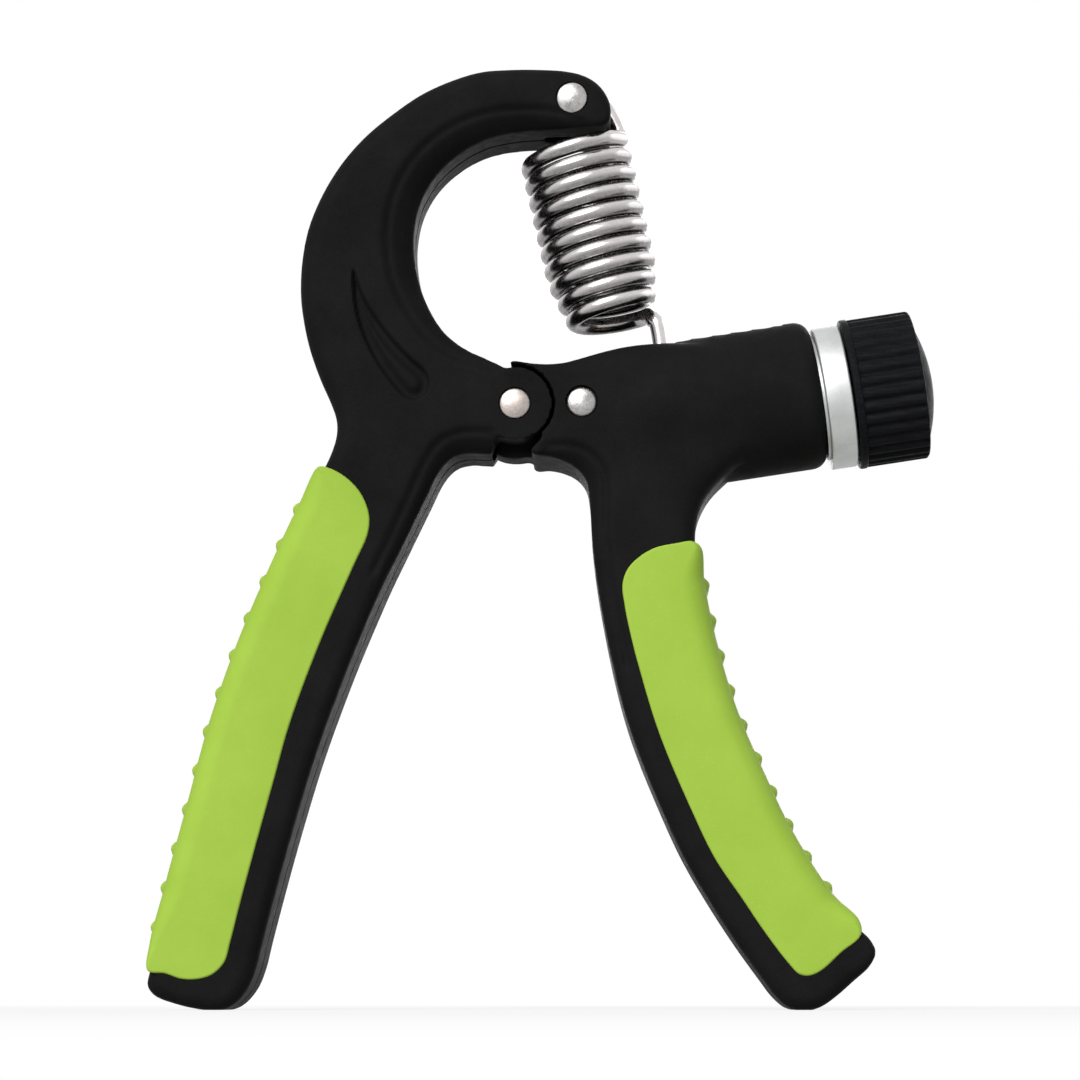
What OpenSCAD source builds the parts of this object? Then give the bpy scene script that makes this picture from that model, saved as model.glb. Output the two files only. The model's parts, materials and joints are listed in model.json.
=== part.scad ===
// Adjustable hand grip strengthener: two levers on a rivet, a tension spring between the
// C-shaped arm and a nut inside the barrel, and a knob that moves the nut along a lead screw.
// X runs to the knob, Y is the depth, Z is up, and it stands on the ends of its two handles.

/* [Levers] */
// Thickness of both levers
lever_t = 22; // [20:0.5:26]
// Height of the lever pivot above the feet
pivot_h = 101.7; // [95:0.5:112]
// Offset of the lever pivot from the middle of the object
pivot_x = -5.15; // [-8:0.05:-2]
// Height of the top of the C-arm above the pivot
arm_rise = 58.3; // [56:0.5:64]
// Radius of the round cheeks at the pivot
cheek_r = 6.25; // [5.8:0.05:6.6]
// Gap between a cheek and the round seat of the other lever
arc_gap = 0.45; // [0.35:0.05:0.7]
// Thickness of the tongue between the cheeks
tongue_t = 7.8; // [6:0.2:10]
// Radius of the lower lobe of the tongue
tongue_r = 8.4; // [8:0.1:8.8]
// Clearance on each side of the tongue, and round it
tongue_gap = 0.3; // [0.2:0.05:0.5]
// Angle that the handles close by before they stop
squeeze_angle = 38; // [30:1:39]

/* [Grips] */
// Height that a grip stands proud of the outer side of its lever
grip_proud = 1; // [0.6:0.1:1.4]
// Height that a grip stands proud of the faces of its lever
grip_face_proud = 0.3; // [0.2:0.05:0.8]
// Depth that a grip is let into its lever
grip_inset = 1.8; // [1.2:0.1:2.6]
// Radius of the grip's outer edges
grip_round = 4; // [3:0.25:5]
// Clearance between a grip and its recess
grip_fit = 0.05; // [0.02:0.01:0.1]
// Number of nubs in each row on the left grip
left_nubs = 12; // [8:1:14]
// Number of nubs in each row on the right grip
right_nubs = 10; // [6:1:12]
// Radius of a nub
nub_r = 1.1; // [0.8:0.05:1.6]
// Distance between the rows of nubs, across the grip
nub_row = 5.8; // [4:0.2:6.4]

/* [Rivets] */
// Radius of the rivet heads
head_r = 2.65; // [2.4:0.05:3]
// Height of the domed rivet heads
head_h = 0.8; // [0.6:0.05:1.2]
// Radius of the pivot rivet's shank
pivot_pin_r = 2; // [1.75:0.05:2.2]
// Radius of the shanks that hold the spring and the screw
small_pin_r = 1.75; // [1.5:0.05:1.9]
// Wall of the bush in the tongue
bush_wall = 1.2; // [1:0.1:1.5]
// Radius of the washers under the closed ends
washer_r = 3.3; // [3.1:0.05:3.6]
// Thickness of those washers
washer_t = 0.6; // [0.5:0.05:0.8]
// Play of a pin in a hole that it stays still in
seat_play = 0.02; // [0.01:0.01:0.04]
// Play of a pin in a hole that it turns or slides in
run_play = 0.06; // [0.04:0.01:0.09]

/* [Barrel and screw] */
// Angle of the barrel above the level
barrel_tilt = 8.6; // [6:0.2:11]
// Distance of the barrel's outer end from the pivot
barrel_end = 51.6; // [50:0.2:54]
// Distance of the screw's axis below the pivot, square to the axis
axis_drop = 5.6; // [5.2:0.05:5.8]
// Radius of the barrel
barrel_r = 12.7; // [12.4:0.1:13.2]
// Radius of the chamber that the nut slides in
chamber_r = 8; // [7.6:0.1:8.6]
// Outer radius of the lead screw
screw_r = 3.5; // [3.2:0.1:3.7]
// Pitch of the lead screw
screw_pitch = 2; // [1.5:0.25:2.5]
// Depth of the screw's thread
thread_d = 0.6; // [0.4:0.05:0.8]
// Distance that the nut travels
nut_travel = 20; // [16:0.5:20.5]
// Length of the nut
nut_l = 8; // [7:0.25:8.5]
// Height of the hook pin above the screw's axis
hook_h = 8.8; // [8.6:0.1:9.2]
// Radius of the hook pin
hook_pin_r = 1.5; // [1.3:0.05:1.7]
// Thickness of each ear of the nut
ear_t = 1.65; // [1.4:0.05:1.9]

/* [Knob] */
// Radius of the satin end ring
ring_r = 12.3; // [11.8:0.1:12.6]
// Width of the satin end ring
ring_w = 4.5; // [4:0.1:5]
// Radius of the knob's smooth rim
rim_r = 12.9; // [12.7:0.05:13.4]
// Radius over the knob's ribs
rib_r = 12.75; // [12.4:0.05:12.9]
// Depth of the grooves between the ribs
rib_d = 0.55; // [0.4:0.05:0.8]
// Number of ribs
ribs = 34; // [24:1:40]
// Length of the knob
knob_l = 12.4; // [11.5:0.1:13.5]
// Radius of the knob's domed cap
cap_r = 8.8; // [8:0.1:9.4]
// Height of the cap's dome
cap_h = 2; // [1.6:0.1:2.4]

/* [Spring] */
// Thickness of the spring wire
wire_d = 2.5; // [2.3:0.05:2.55]
// Distance between neighbouring coils
coil_pitch = 3.08; // [3.02:0.02:3.12]
// Number of coils
coils = 10; // [9:1:10]
// Mean radius of the coils
coil_r = 8.5; // [7.9:0.05:8.7]
// Mean radius of the last coil, at the lower end
coil_end_r = 6.4; // [5.9:0.1:7]

/* [Hidden] */
$fn = 64;

half_t = lever_t / 2;
pivot = [pivot_x, 0, pivot_h];

// The outlines are drawn round the pivot for this drop to the feet and this rise of the arm.
// Points beyond the level stretches are moved in proportion, so the hub keeps its shape.
drawn_drop = 101.7;
drawn_rise = 58.3;
hub_drop = 20;
hub_rise = 14;
function drop_z(z) = -hub_drop + (z + hub_drop) * (pivot_h - hub_drop) / (drawn_drop - hub_drop);
function rise_z(z) = hub_rise + (z - hub_rise) * (arm_rise - hub_rise) / (drawn_rise - hub_rise);
function fit_z(z) = z < -hub_drop ? drop_z(z) : z > hub_rise ? rise_z(z) : z;
function placed(points) = [for (p = points) [pivot_x + p[0], pivot_h + fit_z(p[1]), p[2]]];

// A smooth closed curve through its points, with steps points for each stretch. The third
// number of a point, the radius of its edge, runs smoothly along the curve too.
steps = 2;
function flat(p) = [p[0], p[1]];
function knot(a, b) = sqrt(norm(flat(b) - flat(a)));
function blend(a, b, ta, tb, t) = a * (tb - t) / (tb - ta) + b * (t - ta) / (tb - ta);
function curve_at(p, q, r, s, u) =
    let (
        t1 = knot(p, q), t2 = t1 + knot(q, r), t3 = t2 + knot(r, s), t = t1 + u * (t2 - t1),
        a1 = blend(p, q, 0, t1, t), a2 = blend(q, r, t1, t2, t), a3 = blend(r, s, t2, t3, t),
        b1 = blend(a1, a2, 0, t2, t), b2 = blend(a2, a3, t1, t3, t)
    )
    blend(b1, b2, t1, t2, t);
function closed_curve(p) =
    let (n = len(p))
    [
        for (i = [0 : n - 1], k = [0 : steps - 1])
        curve_at(p[(i + n - 1) % n], p[i], p[(i + 1) % n], p[(i + 2) % n], k / steps)
    ];

// The outline moved inwards, by a share of each point's edge radius and by a set distance
function inward(p, i) =
    let (n = len(p), d = flat(p[(i + 1) % n]) - flat(p[(i + n - 1) % n]), u = d / norm(d))
    [-u[1], u[0]];
function inset(p, share, dist = 0) =
    [for (i = [0 : len(p) - 1]) flat(p[i]) + inward(p, i) * (share * p[i][2] + dist)];

// Splits the inside of a simple outline into triangles, by cutting off one corner after another
function turn_of(a, b, c) = (b[0] - a[0]) * (c[1] - a[1]) - (c[0] - a[0]) * (b[1] - a[1]);
function covers(a, b, c, q) = turn_of(a, b, q) >= 0 && turn_of(b, c, q) >= 0 && turn_of(c, a, q) >= 0;
function is_ear(p, ids, k) =
    let (n = len(ids), i = ids[(k + n - 1) % n], j = ids[k], m = ids[(k + 1) % n])
    turn_of(p[i], p[j], p[m]) > 0.000001
    && len([for (q = ids) if (q != i && q != j && q != m && covers(p[i], p[j], p[m], p[q])) q]) == 0;
function next_ear(p, ids, k, tries) =
    tries == 0 || is_ear(p, ids, k % len(ids)) ? k % len(ids) : next_ear(p, ids, k + 1, tries - 1);
function triangles(p, ids, from = 0, done = []) =
    len(ids) == 3
        ? concat(done, [ids])
        : let (
            n = len(ids), k = next_ear(p, ids, from, n),
            ear = [ids[(k + n - 1) % n], ids[k], ids[(k + 1) % n]]
        )
        triangles(p, [for (i = [0 : n - 1]) if (i != k) ids[i]], k + 1, concat(done, [ear]));

// A slab of the outline's shape with rounded edges, centred on the middle plane
edge_turns = [0, 30, 60, 90];
function slab_ring(p, half, turn, side) =
    let (q = inset(p, 1 - sin(turn)))
    [for (i = [0 : len(p) - 1]) [q[i][0], side * (half - p[i][2] * (1 - cos(turn))), q[i][1]]];
module rounded_slab(p, half) {
    n = len(p);
    front = [for (turn = edge_turns) slab_ring(p, half, turn, -1)];
    back = [for (k = [len(edge_turns) - 1 : -1 : 0]) slab_ring(p, half, edge_turns[k], 1)];
    rings = concat(front, back);
    last = (len(rings) - 1) * n;
    walls = [
        for (k = [0 : len(rings) - 2], i = [0 : n - 1], half_face = [0, 1])
        let (j = (i + 1) % n, a = k * n, b = (k + 1) * n)
        half_face == 0 ? [a + i, b + j, b + i] : [a + i, a + j, b + j]
    ];
    face = triangles(inset(p, 1), [for (i = [0 : n - 1]) i]);
    front_face = [for (f = face) [f[2], f[1], f[0]]];
    back_face = [for (f = face) [last + f[0], last + f[1], last + f[2]]];
    points = [for (ring = rings, point = ring) point];
    polyhedron(points, concat(walls, front_face, back_face), convexity = 10);
}

// Prisms and pins that run from front to back
module plate(points, half) {
    rotate([90, 0, 0])
        linear_extrude(height = 2 * half, center = true, convexity = 10)
            polygon([for (p = points) flat(p)]);
}
module cross_pin(at, radius, from, to) {
    translate([at[0], from, at[2]])
        rotate([-90, 0, 0])
            cylinder(h = to - from, r = radius);
}
module sector(at, reach, from, to) {
    count = 8;
    ends = [for (k = [0 : count]) from + (to - from) * k / count];
    rim = [for (a = ends) [at[0] + reach * cos(a), at[2] + reach * sin(a)]];
    plate(concat([[at[0], at[2]]], rim), lever_t);
}

// The barrel's frame: s runs along the screw's axis from the pivot, d square to it, upwards
along = [cos(barrel_tilt), 0, sin(barrel_tilt)];
upward = [-sin(barrel_tilt), 0, cos(barrel_tilt)];
function barrel_point(s, d) = pivot + along * s + upward * (d - axis_drop);
module on_axis(s) {
    translate(barrel_point(s, 0))
        rotate([0, 90 - barrel_tilt, 0])
            children();
}
module axis_rod(from, to, radius) {
    on_axis(from)
        cylinder(h = to - from, r = radius);
}
module axis_block(from, to, low, high, half) {
    translate(barrel_point(from, 0))
        rotate([0, -barrel_tilt, 0])
            translate([0, -half, low])
                cube([to - from, 2 * half, high - low]);
}

// Pins: the spring's upper pin, the screw's retaining pin and the hook pin in the nut
spring_pin = pivot + [9.7, 0, arm_rise - 5.5];
retaining_s = 11.22;
retaining_d = 4.2;
retaining_pin_at = barrel_point(retaining_s, retaining_d);
hook_s = 22.4;
hook_at = barrel_point(hook_s, hook_h);

// Radii round the pivot
seat_r = cheek_r + arc_gap;
slot_r = tongue_r + tongue_gap;
slot_half = tongue_t / 2 + tongue_gap / 2;
bush_r = pivot_pin_r + run_play + bush_wall;
shoulder_angle = -76;
notch_play = 2.5;
notch_angle = shoulder_angle - squeeze_angle - notch_play;
seat_top_angle = 97;
lobe_top_angle = -40;
lobe_play = 2;
sector_reach = 14;
// On the arm's side of the pivot, between these angles, the tongue never comes
slot_spared = [104, 156];

// Wire and hook sizes
wire_r = wire_d / 2;
hook_play = 0.1;
fork_half = wire_r + 0.5;
upper_hook_r = small_pin_r + wire_r + hook_play;
lower_hook_r = hook_pin_r + wire_r + hook_play;
ear_half = fork_half + ear_t;
ear_slot_half = ear_half + 0.15;
ear_wall = 1.5;
ear_r = hook_pin_r + ear_wall;

// Places along the screw
nut_from = hook_s - nut_l / 2;
nut_to = hook_s + nut_l / 2;
slot_spare = 1.7;
slot_from = hook_s - ear_r - slot_spare;
slot_to = hook_s + nut_travel + ear_r + slot_spare;
slot_floor = 4;
slot_top = 20;
chamber_from = nut_from - 0.6;
spigot_from = barrel_end - 4.2;
journal_from = 7.3;
journal_to = chamber_from - 0.4;
ring_from = barrel_end + 0.4;
ring_to = ring_from + ring_w;
knob_from = ring_to + 0.35;
knob_to = knob_from + knob_l;
screw_end = knob_from + 8.2;
drive_depth_play = 0.1;
collar_to = knob_from + 0.9;

// Counterbores of the rivets
head_sink = 0.55;
deep_sink = 0.95;
bore_play = 0.12;
back_sink = washer_t + 0.3;

// ---- Left lever: handle, round cheeks and C-shaped arm ----
arm_inner = [
    [0.6, 4.4, 0.6], [-1.4, 6, 0.8], [-4.8, 7.8, 1.4], [-8.7, 9.8, 2.2], [-12.2, 12.8, 3],
    [-14.7, 16.8, 3.6], [-16.4, 21.2, 4.2], [-17.3, 25.8, 4.5], [-17.4, 30.2, 4.5],
    [-16.4, 35.2, 4.5], [-13.9, 39.9, 4.4], [-9.9, 43.8, 4.2], [-4.9, 46.5, 3.8],
    [0.5, 47.6, 3.4], [6, 47.9, 2.8], [11, 48, 1.6], [14.4, 48.05, 0.8]
];
arm_outer = [
    [15.8, 48.5, 0.8], [16.3, 49.8, 0.9], [16.2, 52, 1.8], [15.3, 54.2, 2.6], [13.8, 56, 3],
    [11.5, 57.3, 3], [8.5, 58, 3], [4, 58.3, 3], [-1, 58.3, 3], [-6, 57.9, 3], [-11, 56.4, 3],
    [-16, 54.1, 3], [-20.8, 50.8, 3], [-25.6, 46.8, 3], [-29.6, 42.2, 3], [-32.9, 36.8, 3],
    [-35.3, 30.9, 3], [-36.4, 25, 3], [-36.6, 19.3, 3], [-36.1, 14.9, 3], [-35, 9.9, 3],
    [-33.1, 4.5, 3], [-31.2, 0.2, 3], [-30.3, -2.6, 2.8], [-30.3, -5.3, 2.6],
    [-31.2, -8.3, 2.6]
];
left_outer = [
    [-32.6, -11.3, 2.6], [-35.8, -17.2, 3], [-41.3, -29.2, 3], [-46.3, -41.4, 3],
    [-50.6, -54.1, 3], [-54.2, -68, 3], [-57.7, -81.4, 3], [-59.8, -91, 3]
];
left_foot = [
    [-60.9, -95.6, 2.8], [-61.2, -97.6, 2.6], [-60, -99.3, 2.4], [-56.5, -100.7, 2.4],
    [-52.5, -101.6, 2.4], [-49.5, -101.9, 2.4], [-46.8, -100.9, 2.4], [-44.4, -98.2, 2.4],
    [-43, -94.8, 2.4]
];
left_inner = [
    [-41.9, -90.2, 2.3], [-39.1, -79.3, 2.3], [-36.6, -70.2, 2.3], [-33.2, -58.9, 2.3],
    [-27.8, -44, 2.3], [-22.6, -31.5, 2.3], [-19.7, -25.4, 2.4], [-15.1, -15.8, 2.6],
    [-12.7, -11, 2.8], [-10.6, -8.8, 3.2], [-8.2, -8.1, 3.4], [-5, -8.2, 3.4]
];
left_hub = [[-1.5, -8.2, 2.6], [1, -6.4, 1], [2, -2, 1], [1.6, 2, 0.8]];
left_outline =
    closed_curve(placed(concat(arm_inner, arm_outer, left_outer, left_foot, left_inner, left_hub)));

left_grip_edge = [
    [-60.9, -95.2, 0.5], [-58, -95.7, 0.4], [-55.2, -96.6, 0.4], [-52.4, -96.6, 0.4],
    [-50, -95.8, 0.4], [-48.1, -93.8, 0.4], [-47.1, -90.3, 0.4], [-45.4, -83.4, 0.4],
    [-43.1, -74.6, 0.4], [-40, -63.1, 0.4], [-37.6, -54.3, 0.4], [-32.7, -40.8, 0.4],
    [-27.2, -28, 0.4], [-24.7, -22.2, 0.4], [-24.5, -19, 0.4], [-26, -15.2, 0.4],
    [-29, -12.2, 0.4], [-32.4, -10.7, 0.5]
];

// ---- Right lever: handle, barrel and tongue ----
right_hub = [
    [-0.9, 6.9, 0.2], [0.5, 5, 0.3], [1.2, 0, 0.3], [3.5, -4, 0.3], [4.6, -5.6, 0.3],
    [3.6, -6.9, 0.3], [2.6, -8.1, 0.3]
];
right_inner = [
    [3.6, -8.75, 0.5], [5.5, -8.8, 1.6], [8.2, -9.5, 2.6], [10.5, -10.8, 3.2], [12, -12.8, 3.2],
    [12.6, -16.2, 2.8], [13, -23.1, 2.4], [13.9, -30.7, 2.4], [15.2, -38.2, 2.4],
    [17, -46.8, 2.4], [18.8, -53.6, 2.4], [20.8, -59.4, 2.4], [24.1, -67.5, 2.4],
    [28, -76.1, 2.4], [32.5, -83.9, 2.4], [37.1, -91, 2.4], [41.2, -96.7, 2.4]
];
right_foot = [
    [43.4, -99.6, 2.4], [45.6, -101.4, 2.4], [48.2, -101.9, 2.4], [50.8, -101.2, 2.4],
    [53.2, -99.6, 2.4], [56.2, -97, 2.4], [58.9, -94.5, 1.6], [59.9, -92.2, 1.2],
    [59.1, -90.2, 1.6]
];
right_outer = [
    [56.5, -87.6, 2.8], [52.2, -83, 3], [45.4, -72.2, 3], [41.3, -63.6, 3], [36.4, -52, 3],
    [33, -40.4, 3], [31, -30.5, 3], [30.4, -24.7, 2.6]
];
barrel_under = [
    [30.5, -21.2, 2.8], [31.4, -17.6, 3.2], [33.2, -14.4, 3.8], [36.2, -11.4, 4.2],
    [40, -8.2, 3.6], [43.4, -5.6, 2.4], [44.8, -3.4, 1.6]
];
barrel_over = [
    [45.2, 1, 1.6], [44.4, 4.8, 1.8], [41.4, 7.2, 2.6], [36, 9.6, 4], [29, 11, 5],
    [20, 10.6, 5], [14.2, 9.25, 3.5], [11.5, 8.25, 2.6], [8.6, 7.25, 2], [5.2, 6.85, 1.2],
    [1.8, 7.05, 0.6], [-0.4, 7.4, 0.4]
];
right_outline = closed_curve(
    placed(concat(right_hub, right_inner, right_foot, right_outer, barrel_under, barrel_over)));

right_grip_edge = [
    [29.9, -23.6, 0.5], [27.3, -23.9, 0.4], [23.6, -24.7, 0.4], [20.7, -26.4, 0.4],
    [18.9, -28.4, 0.4], [18.1, -30.9, 0.4], [18.5, -34.7, 0.4], [19.6, -40.1, 0.4],
    [21.3, -46.6, 0.4], [23.5, -54, 0.4], [25.6, -59.7, 0.4], [29.6, -69, 0.4],
    [33.3, -76.7, 0.4], [37.8, -83.4, 0.4], [41.7, -89.2, 0.4], [45.6, -94.3, 0.4],
    [47.1, -95.8, 0.4], [48.6, -96.1, 0.4], [50, -95.7, 0.4], [51.4, -94.8, 0.4],
    [54.1, -92.3, 0.4], [57.4, -89.4, 0.5]
];

// The outer side of a grip follows its lever, proud of it and with its own edge radius
function proud(points) =
    let (n = len(points))
    [
        for (i = [0 : n - 1])
        let (
            d = flat(points[min(i + 1, n - 1)]) - flat(points[max(i - 1, 0)]), u = d / norm(d),
            q = flat(points[i]) + [u[1], -u[0]] * grip_proud
        )
        [q[0], q[1], i == 0 || i == n - 1 ? 1.5 : grip_round]
    ];
left_grip_outer = placed(proud(left_outer));
right_grip_outer = placed(proud(right_outer));
left_grip_outline = closed_curve(concat(left_grip_outer, placed(left_grip_edge)));
right_grip_outline = closed_curve(concat(right_grip_outer, placed(right_grip_edge)));

core_half = half_t - grip_inset;
module grip_recess(grip, lever) {
    difference() {
        plate(inset(grip, 0, -grip_fit), lever_t);
        plate(inset(lever, 0, grip_inset), core_half);
    }
}
module grip_body(grip, lever) {
    difference() {
        rounded_slab(grip, half_t + grip_face_proud);
        plate(inset(lever, 0, grip_inset - grip_fit), core_half + grip_fit);
    }
}

// Nubs stand on the grip's outer side at even steps along it
function lengths(p, i = 0, total = 0) =
    i == len(p) - 1 ? [total]
    : concat([total], lengths(p, i + 1, total + norm(flat(p[i + 1]) - flat(p[i]))));
function walk(p, sums, dist) =
    let (
        i = max([for (k = [0 : len(p) - 2]) sums[k] <= dist ? k : 0]),
        u = (dist - sums[i]) / (sums[i + 1] - sums[i])
    )
    flat(p[i]) * (1 - u) + flat(p[i + 1]) * u;
// Distances of the first and last nubs from the ends of a grip's outer side
left_nub_ends = [7.4, 2.9];
right_nub_ends = [7.6, 6];
nub_rows = [-nub_row, 0, nub_row];
module nubs(side, count, ends) {
    sums = lengths(side);
    run = sums[len(sums) - 1] - ends[0] - ends[1];
    for (i = [0 : count - 1], y = nub_rows) {
        at = walk(side, sums, ends[0] + run * i / (count - 1));
        translate([at[0], y, at[1]])
            sphere(r = nub_r, $fn = 24);
    }
}
function outer_run(grip, side) = [for (i = [0 : (len(side) - 1) * steps]) grip[i]];

// Everything below the floor is cut away, which leaves a flat land on each foot
floor_reach = 200;
module floor_cut() {
    translate([-floor_reach, -floor_reach, -floor_reach])
        cube([2 * floor_reach, 2 * floor_reach, floor_reach]);
}

// Counterbored hole for a rivet, with a seat for the washer at the back
module rivet_hole(at, shank, sink) {
    cross_pin(at, shank + seat_play, -lever_t, lever_t);
    cross_pin(at, head_r + bore_play, -lever_t, sink - half_t);
    cross_pin(at, washer_r + bore_play, half_t - back_sink, lever_t);
}
// Rivet with a domed head in front and a smaller formed head on the washer
module rivet(at, shank, sink) {
    front = -half_t + sink;
    back = half_t - back_sink + washer_t;
    dome = (head_r * head_r + head_h * head_h) / (2 * head_h);
    cross_pin(at, shank, front, back);
    intersection() {
        translate([at[0], front - head_h + dome, at[2]])
            sphere(r = dome);
        cross_pin(at, head_r, front - head_h, front);
    }
    tail_r = shank + 0.7;
    tail = (tail_r * tail_r + head_h * head_h) / (2 * head_h);
    intersection() {
        translate([at[0], back + head_h - tail, at[2]])
            sphere(r = tail);
        cross_pin(at, tail_r, back, back + head_h);
    }
}
module back_washer(at, shank) {
    difference() {
        cross_pin(at, washer_r, half_t - back_sink, half_t - back_sink + washer_t);
        cross_pin(at, shank + seat_play, 0, lever_t);
    }
}

// The hollow on the arm's front face: a curved drop with a pointed end
drop_outline = [
    [-27.5, 23.4, 0], [-27.7, 20, 0], [-27.1, 15.5, 0], [-25.6, 11, 0], [-23.4, 6.8, 0],
    [-20.8, 3.2, 0], [-18.6, 1, 0], [-16.6, 0.6, 0], [-14.9, 1.7, 0], [-14.4, 3.7, 0],
    [-15.1, 5.7, 0], [-17.6, 8, 0], [-20.4, 11, 0], [-23.2, 14.6, 0], [-25.6, 18.6, 0]
];
drop_depth = 1;

// Slot between the cheeks, wide where the tongue's lobe sweeps
module tongue_slot() {
    difference() {
        cross_pin(pivot, slot_r, -slot_half, slot_half);
        sector(pivot, sector_reach, slot_spared[0], slot_spared[1]);
    }
    cross_pin(pivot, cheek_r + tongue_gap, -slot_half, slot_half);
}
module left_lever() {
    color([0.11, 0.11, 0.12])
        difference() {
            union() {
                difference() {
                    rounded_slab(left_outline, half_t);
                    sector(pivot, sector_reach, notch_angle, seat_top_angle);
                }
                cross_pin(pivot, cheek_r, -half_t, half_t);
            }
            tongue_slot();
            grip_recess(left_grip_outline, left_outline);
            rivet_hole(pivot, pivot_pin_r, head_sink);
            rivet_hole(spring_pin, small_pin_r, head_sink);
            translate(spring_pin + [-upper_hook_r - wire_r - 0.4, -fork_half, -20])
                cube([30, 2 * fork_half, 40]);
            translate([0, drop_depth - lever_t - half_t, 0])
                plate(closed_curve(placed(drop_outline)), lever_t);
            floor_cut();
        }
}
module left_grip() {
    color([0.65, 0.78, 0.29]) {
        grip_body(left_grip_outline, left_outline);
        nubs(outer_run(left_grip_outline, left_grip_outer), left_nubs, left_nub_ends);
    }
}
module pivot_rivet() {
    color("silver")
        rivet(pivot, pivot_pin_r, head_sink);
}
module spring_rivet() {
    color("silver")
        rivet(spring_pin, small_pin_r, head_sink - 0.2);
}
module left_rivet_washers() {
    color("gray") {
        back_washer(pivot, pivot_pin_r);
        back_washer(spring_pin, small_pin_r);
    }
}

// The barrel swells out of the lever, and its axis lies a little above the screw's
barrel_lift = 1;
barrel_root = 8;
barrel_root_r = 8.5;
barrel_full = 22;
// Its rounded end: how far each point lies inside its radius, and before its end
barrel_edge = [[0, 2.4], [0.5, 0.9], [1.6, 0]];
module barrel_shell() {
    on_axis(0)
        translate([-barrel_lift, 0, 0])
            rotate_extrude()
                polygon(concat(
                    [[0, barrel_root], [barrel_root_r, barrel_root], [barrel_r, barrel_full]],
                    [for (e = barrel_edge) [barrel_r - e[0], barrel_end - e[1]]],
                    [[0, barrel_end]]
                ));
}
module right_lever() {
    color([0.11, 0.11, 0.12])
        difference() {
            union() {
                difference() {
                    union() {
                        rounded_slab(right_outline, half_t);
                        barrel_shell();
                    }
                    cross_pin(pivot, seat_r, -lever_t, -tongue_t / 2);
                    cross_pin(pivot, seat_r, tongue_t / 2, lever_t);
                }
                cross_pin(pivot, cheek_r - 0.1, -tongue_t / 2, tongue_t / 2);
                intersection() {
                    cross_pin(pivot, tongue_r, -tongue_t / 2, tongue_t / 2);
                    sector(pivot, sector_reach, notch_angle + lobe_play, lobe_top_angle);
                }
            }
            cross_pin(pivot, bush_r + seat_play, -half_t, half_t);
            rivet_hole(retaining_pin_at, small_pin_r, deep_sink);
            axis_rod(journal_from, chamber_from + 1, screw_r + run_play);
            axis_rod(chamber_from, barrel_end + 1, chamber_r);
            axis_block(slot_from, slot_to, slot_floor, slot_top, ear_slot_half);
            grip_recess(right_grip_outline, right_outline);
            floor_cut();
        }
}
module right_grip() {
    color([0.65, 0.78, 0.29]) {
        grip_body(right_grip_outline, right_outline);
        nubs(outer_run(right_grip_outline, right_grip_outer), right_nubs, right_nub_ends);
    }
}
module pivot_bush() {
    color([0.72, 0.6, 0.35])
        difference() {
            cross_pin(pivot, bush_r, -tongue_t / 2, tongue_t / 2);
            cross_pin(pivot, pivot_pin_r + run_play, -half_t, half_t);
        }
}
module screw_retaining_pin() {
    color("silver")
        rivet(retaining_pin_at, small_pin_r, deep_sink);
}
module retaining_pin_washer() {
    color("gray")
        back_washer(retaining_pin_at, small_pin_r);
}

ring_hub_r = 10.5;
ring_edge = 0.3;
module end_ring() {
    color([0.73, 0.74, 0.74])
        on_axis(0)
            rotate_extrude()
                polygon([
                    [screw_r + run_play, spigot_from], [chamber_r - 0.05, spigot_from],
                    [chamber_r - 0.05, barrel_end], [ring_hub_r, barrel_end], [ring_hub_r, ring_from],
                    [ring_r - ring_edge, ring_from], [ring_r, ring_from + ring_edge],
                    [ring_r, ring_to - ring_edge], [ring_r - ring_edge, ring_to],
                    [screw_r + run_play, ring_to]
                ]);
}

// Lead screw: grooved journal, thread drawn as rings, collar and squared end in the knob
groove_r = retaining_d - small_pin_r - 0.1;
groove_half = small_pin_r + 0.1;
thread_from = journal_to + 0.6;
thread_to = spigot_from - 0.5;
thread_turns = floor((thread_to - thread_from) / screw_pitch);
drive_r = 2.8;
thread_profile = [
    for (i = [0 : thread_turns - 1], k = [0 : 3])
    let (s = thread_from + screw_pitch * i)
    [screw_r - (k == 1 || k == 2 ? thread_d : 0), s + screw_pitch * [0.2, 0.45, 0.55, 0.8][k]]
];
module adjuster_screw() {
    color("silver")
        difference() {
            on_axis(0)
                rotate_extrude()
                    polygon(concat(
                        [
                            [0, journal_from + 0.3], [screw_r - 0.4, journal_from + 0.3],
                            [screw_r, journal_from + 0.7], [screw_r, retaining_s - groove_half],
                            [groove_r, retaining_s - groove_half],
                            [groove_r, retaining_s + groove_half],
                            [screw_r, retaining_s + groove_half]
                        ],
                        thread_profile,
                        [
                            [screw_r, collar_to], [drive_r, collar_to],
                            [drive_r, screw_end], [0, screw_end]
                        ]
                    ));
            axis_rod(collar_to + 1, screw_end + 1, fix_r + seat_play);
        }
}
fix_r = 1.5;
fix_head_r = 2.75;
fix_head_h = 1.9;
well_r = 4;
ledge_t = 0.5;
knob_floor = screw_end + drive_depth_play + ledge_t;
thrust_r = 7;
thrust_t = 0.8;
thrust_play = 0.05;
thrust_side = 0.2;
module thrust_washer() {
    color([0.85, 0.83, 0.76])
        difference() {
            axis_rod(ring_to + thrust_play, ring_to + thrust_play + thrust_t, thrust_r);
            axis_rod(ring_to - 1, ring_to + 2, screw_r + run_play);
        }
}
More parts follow.
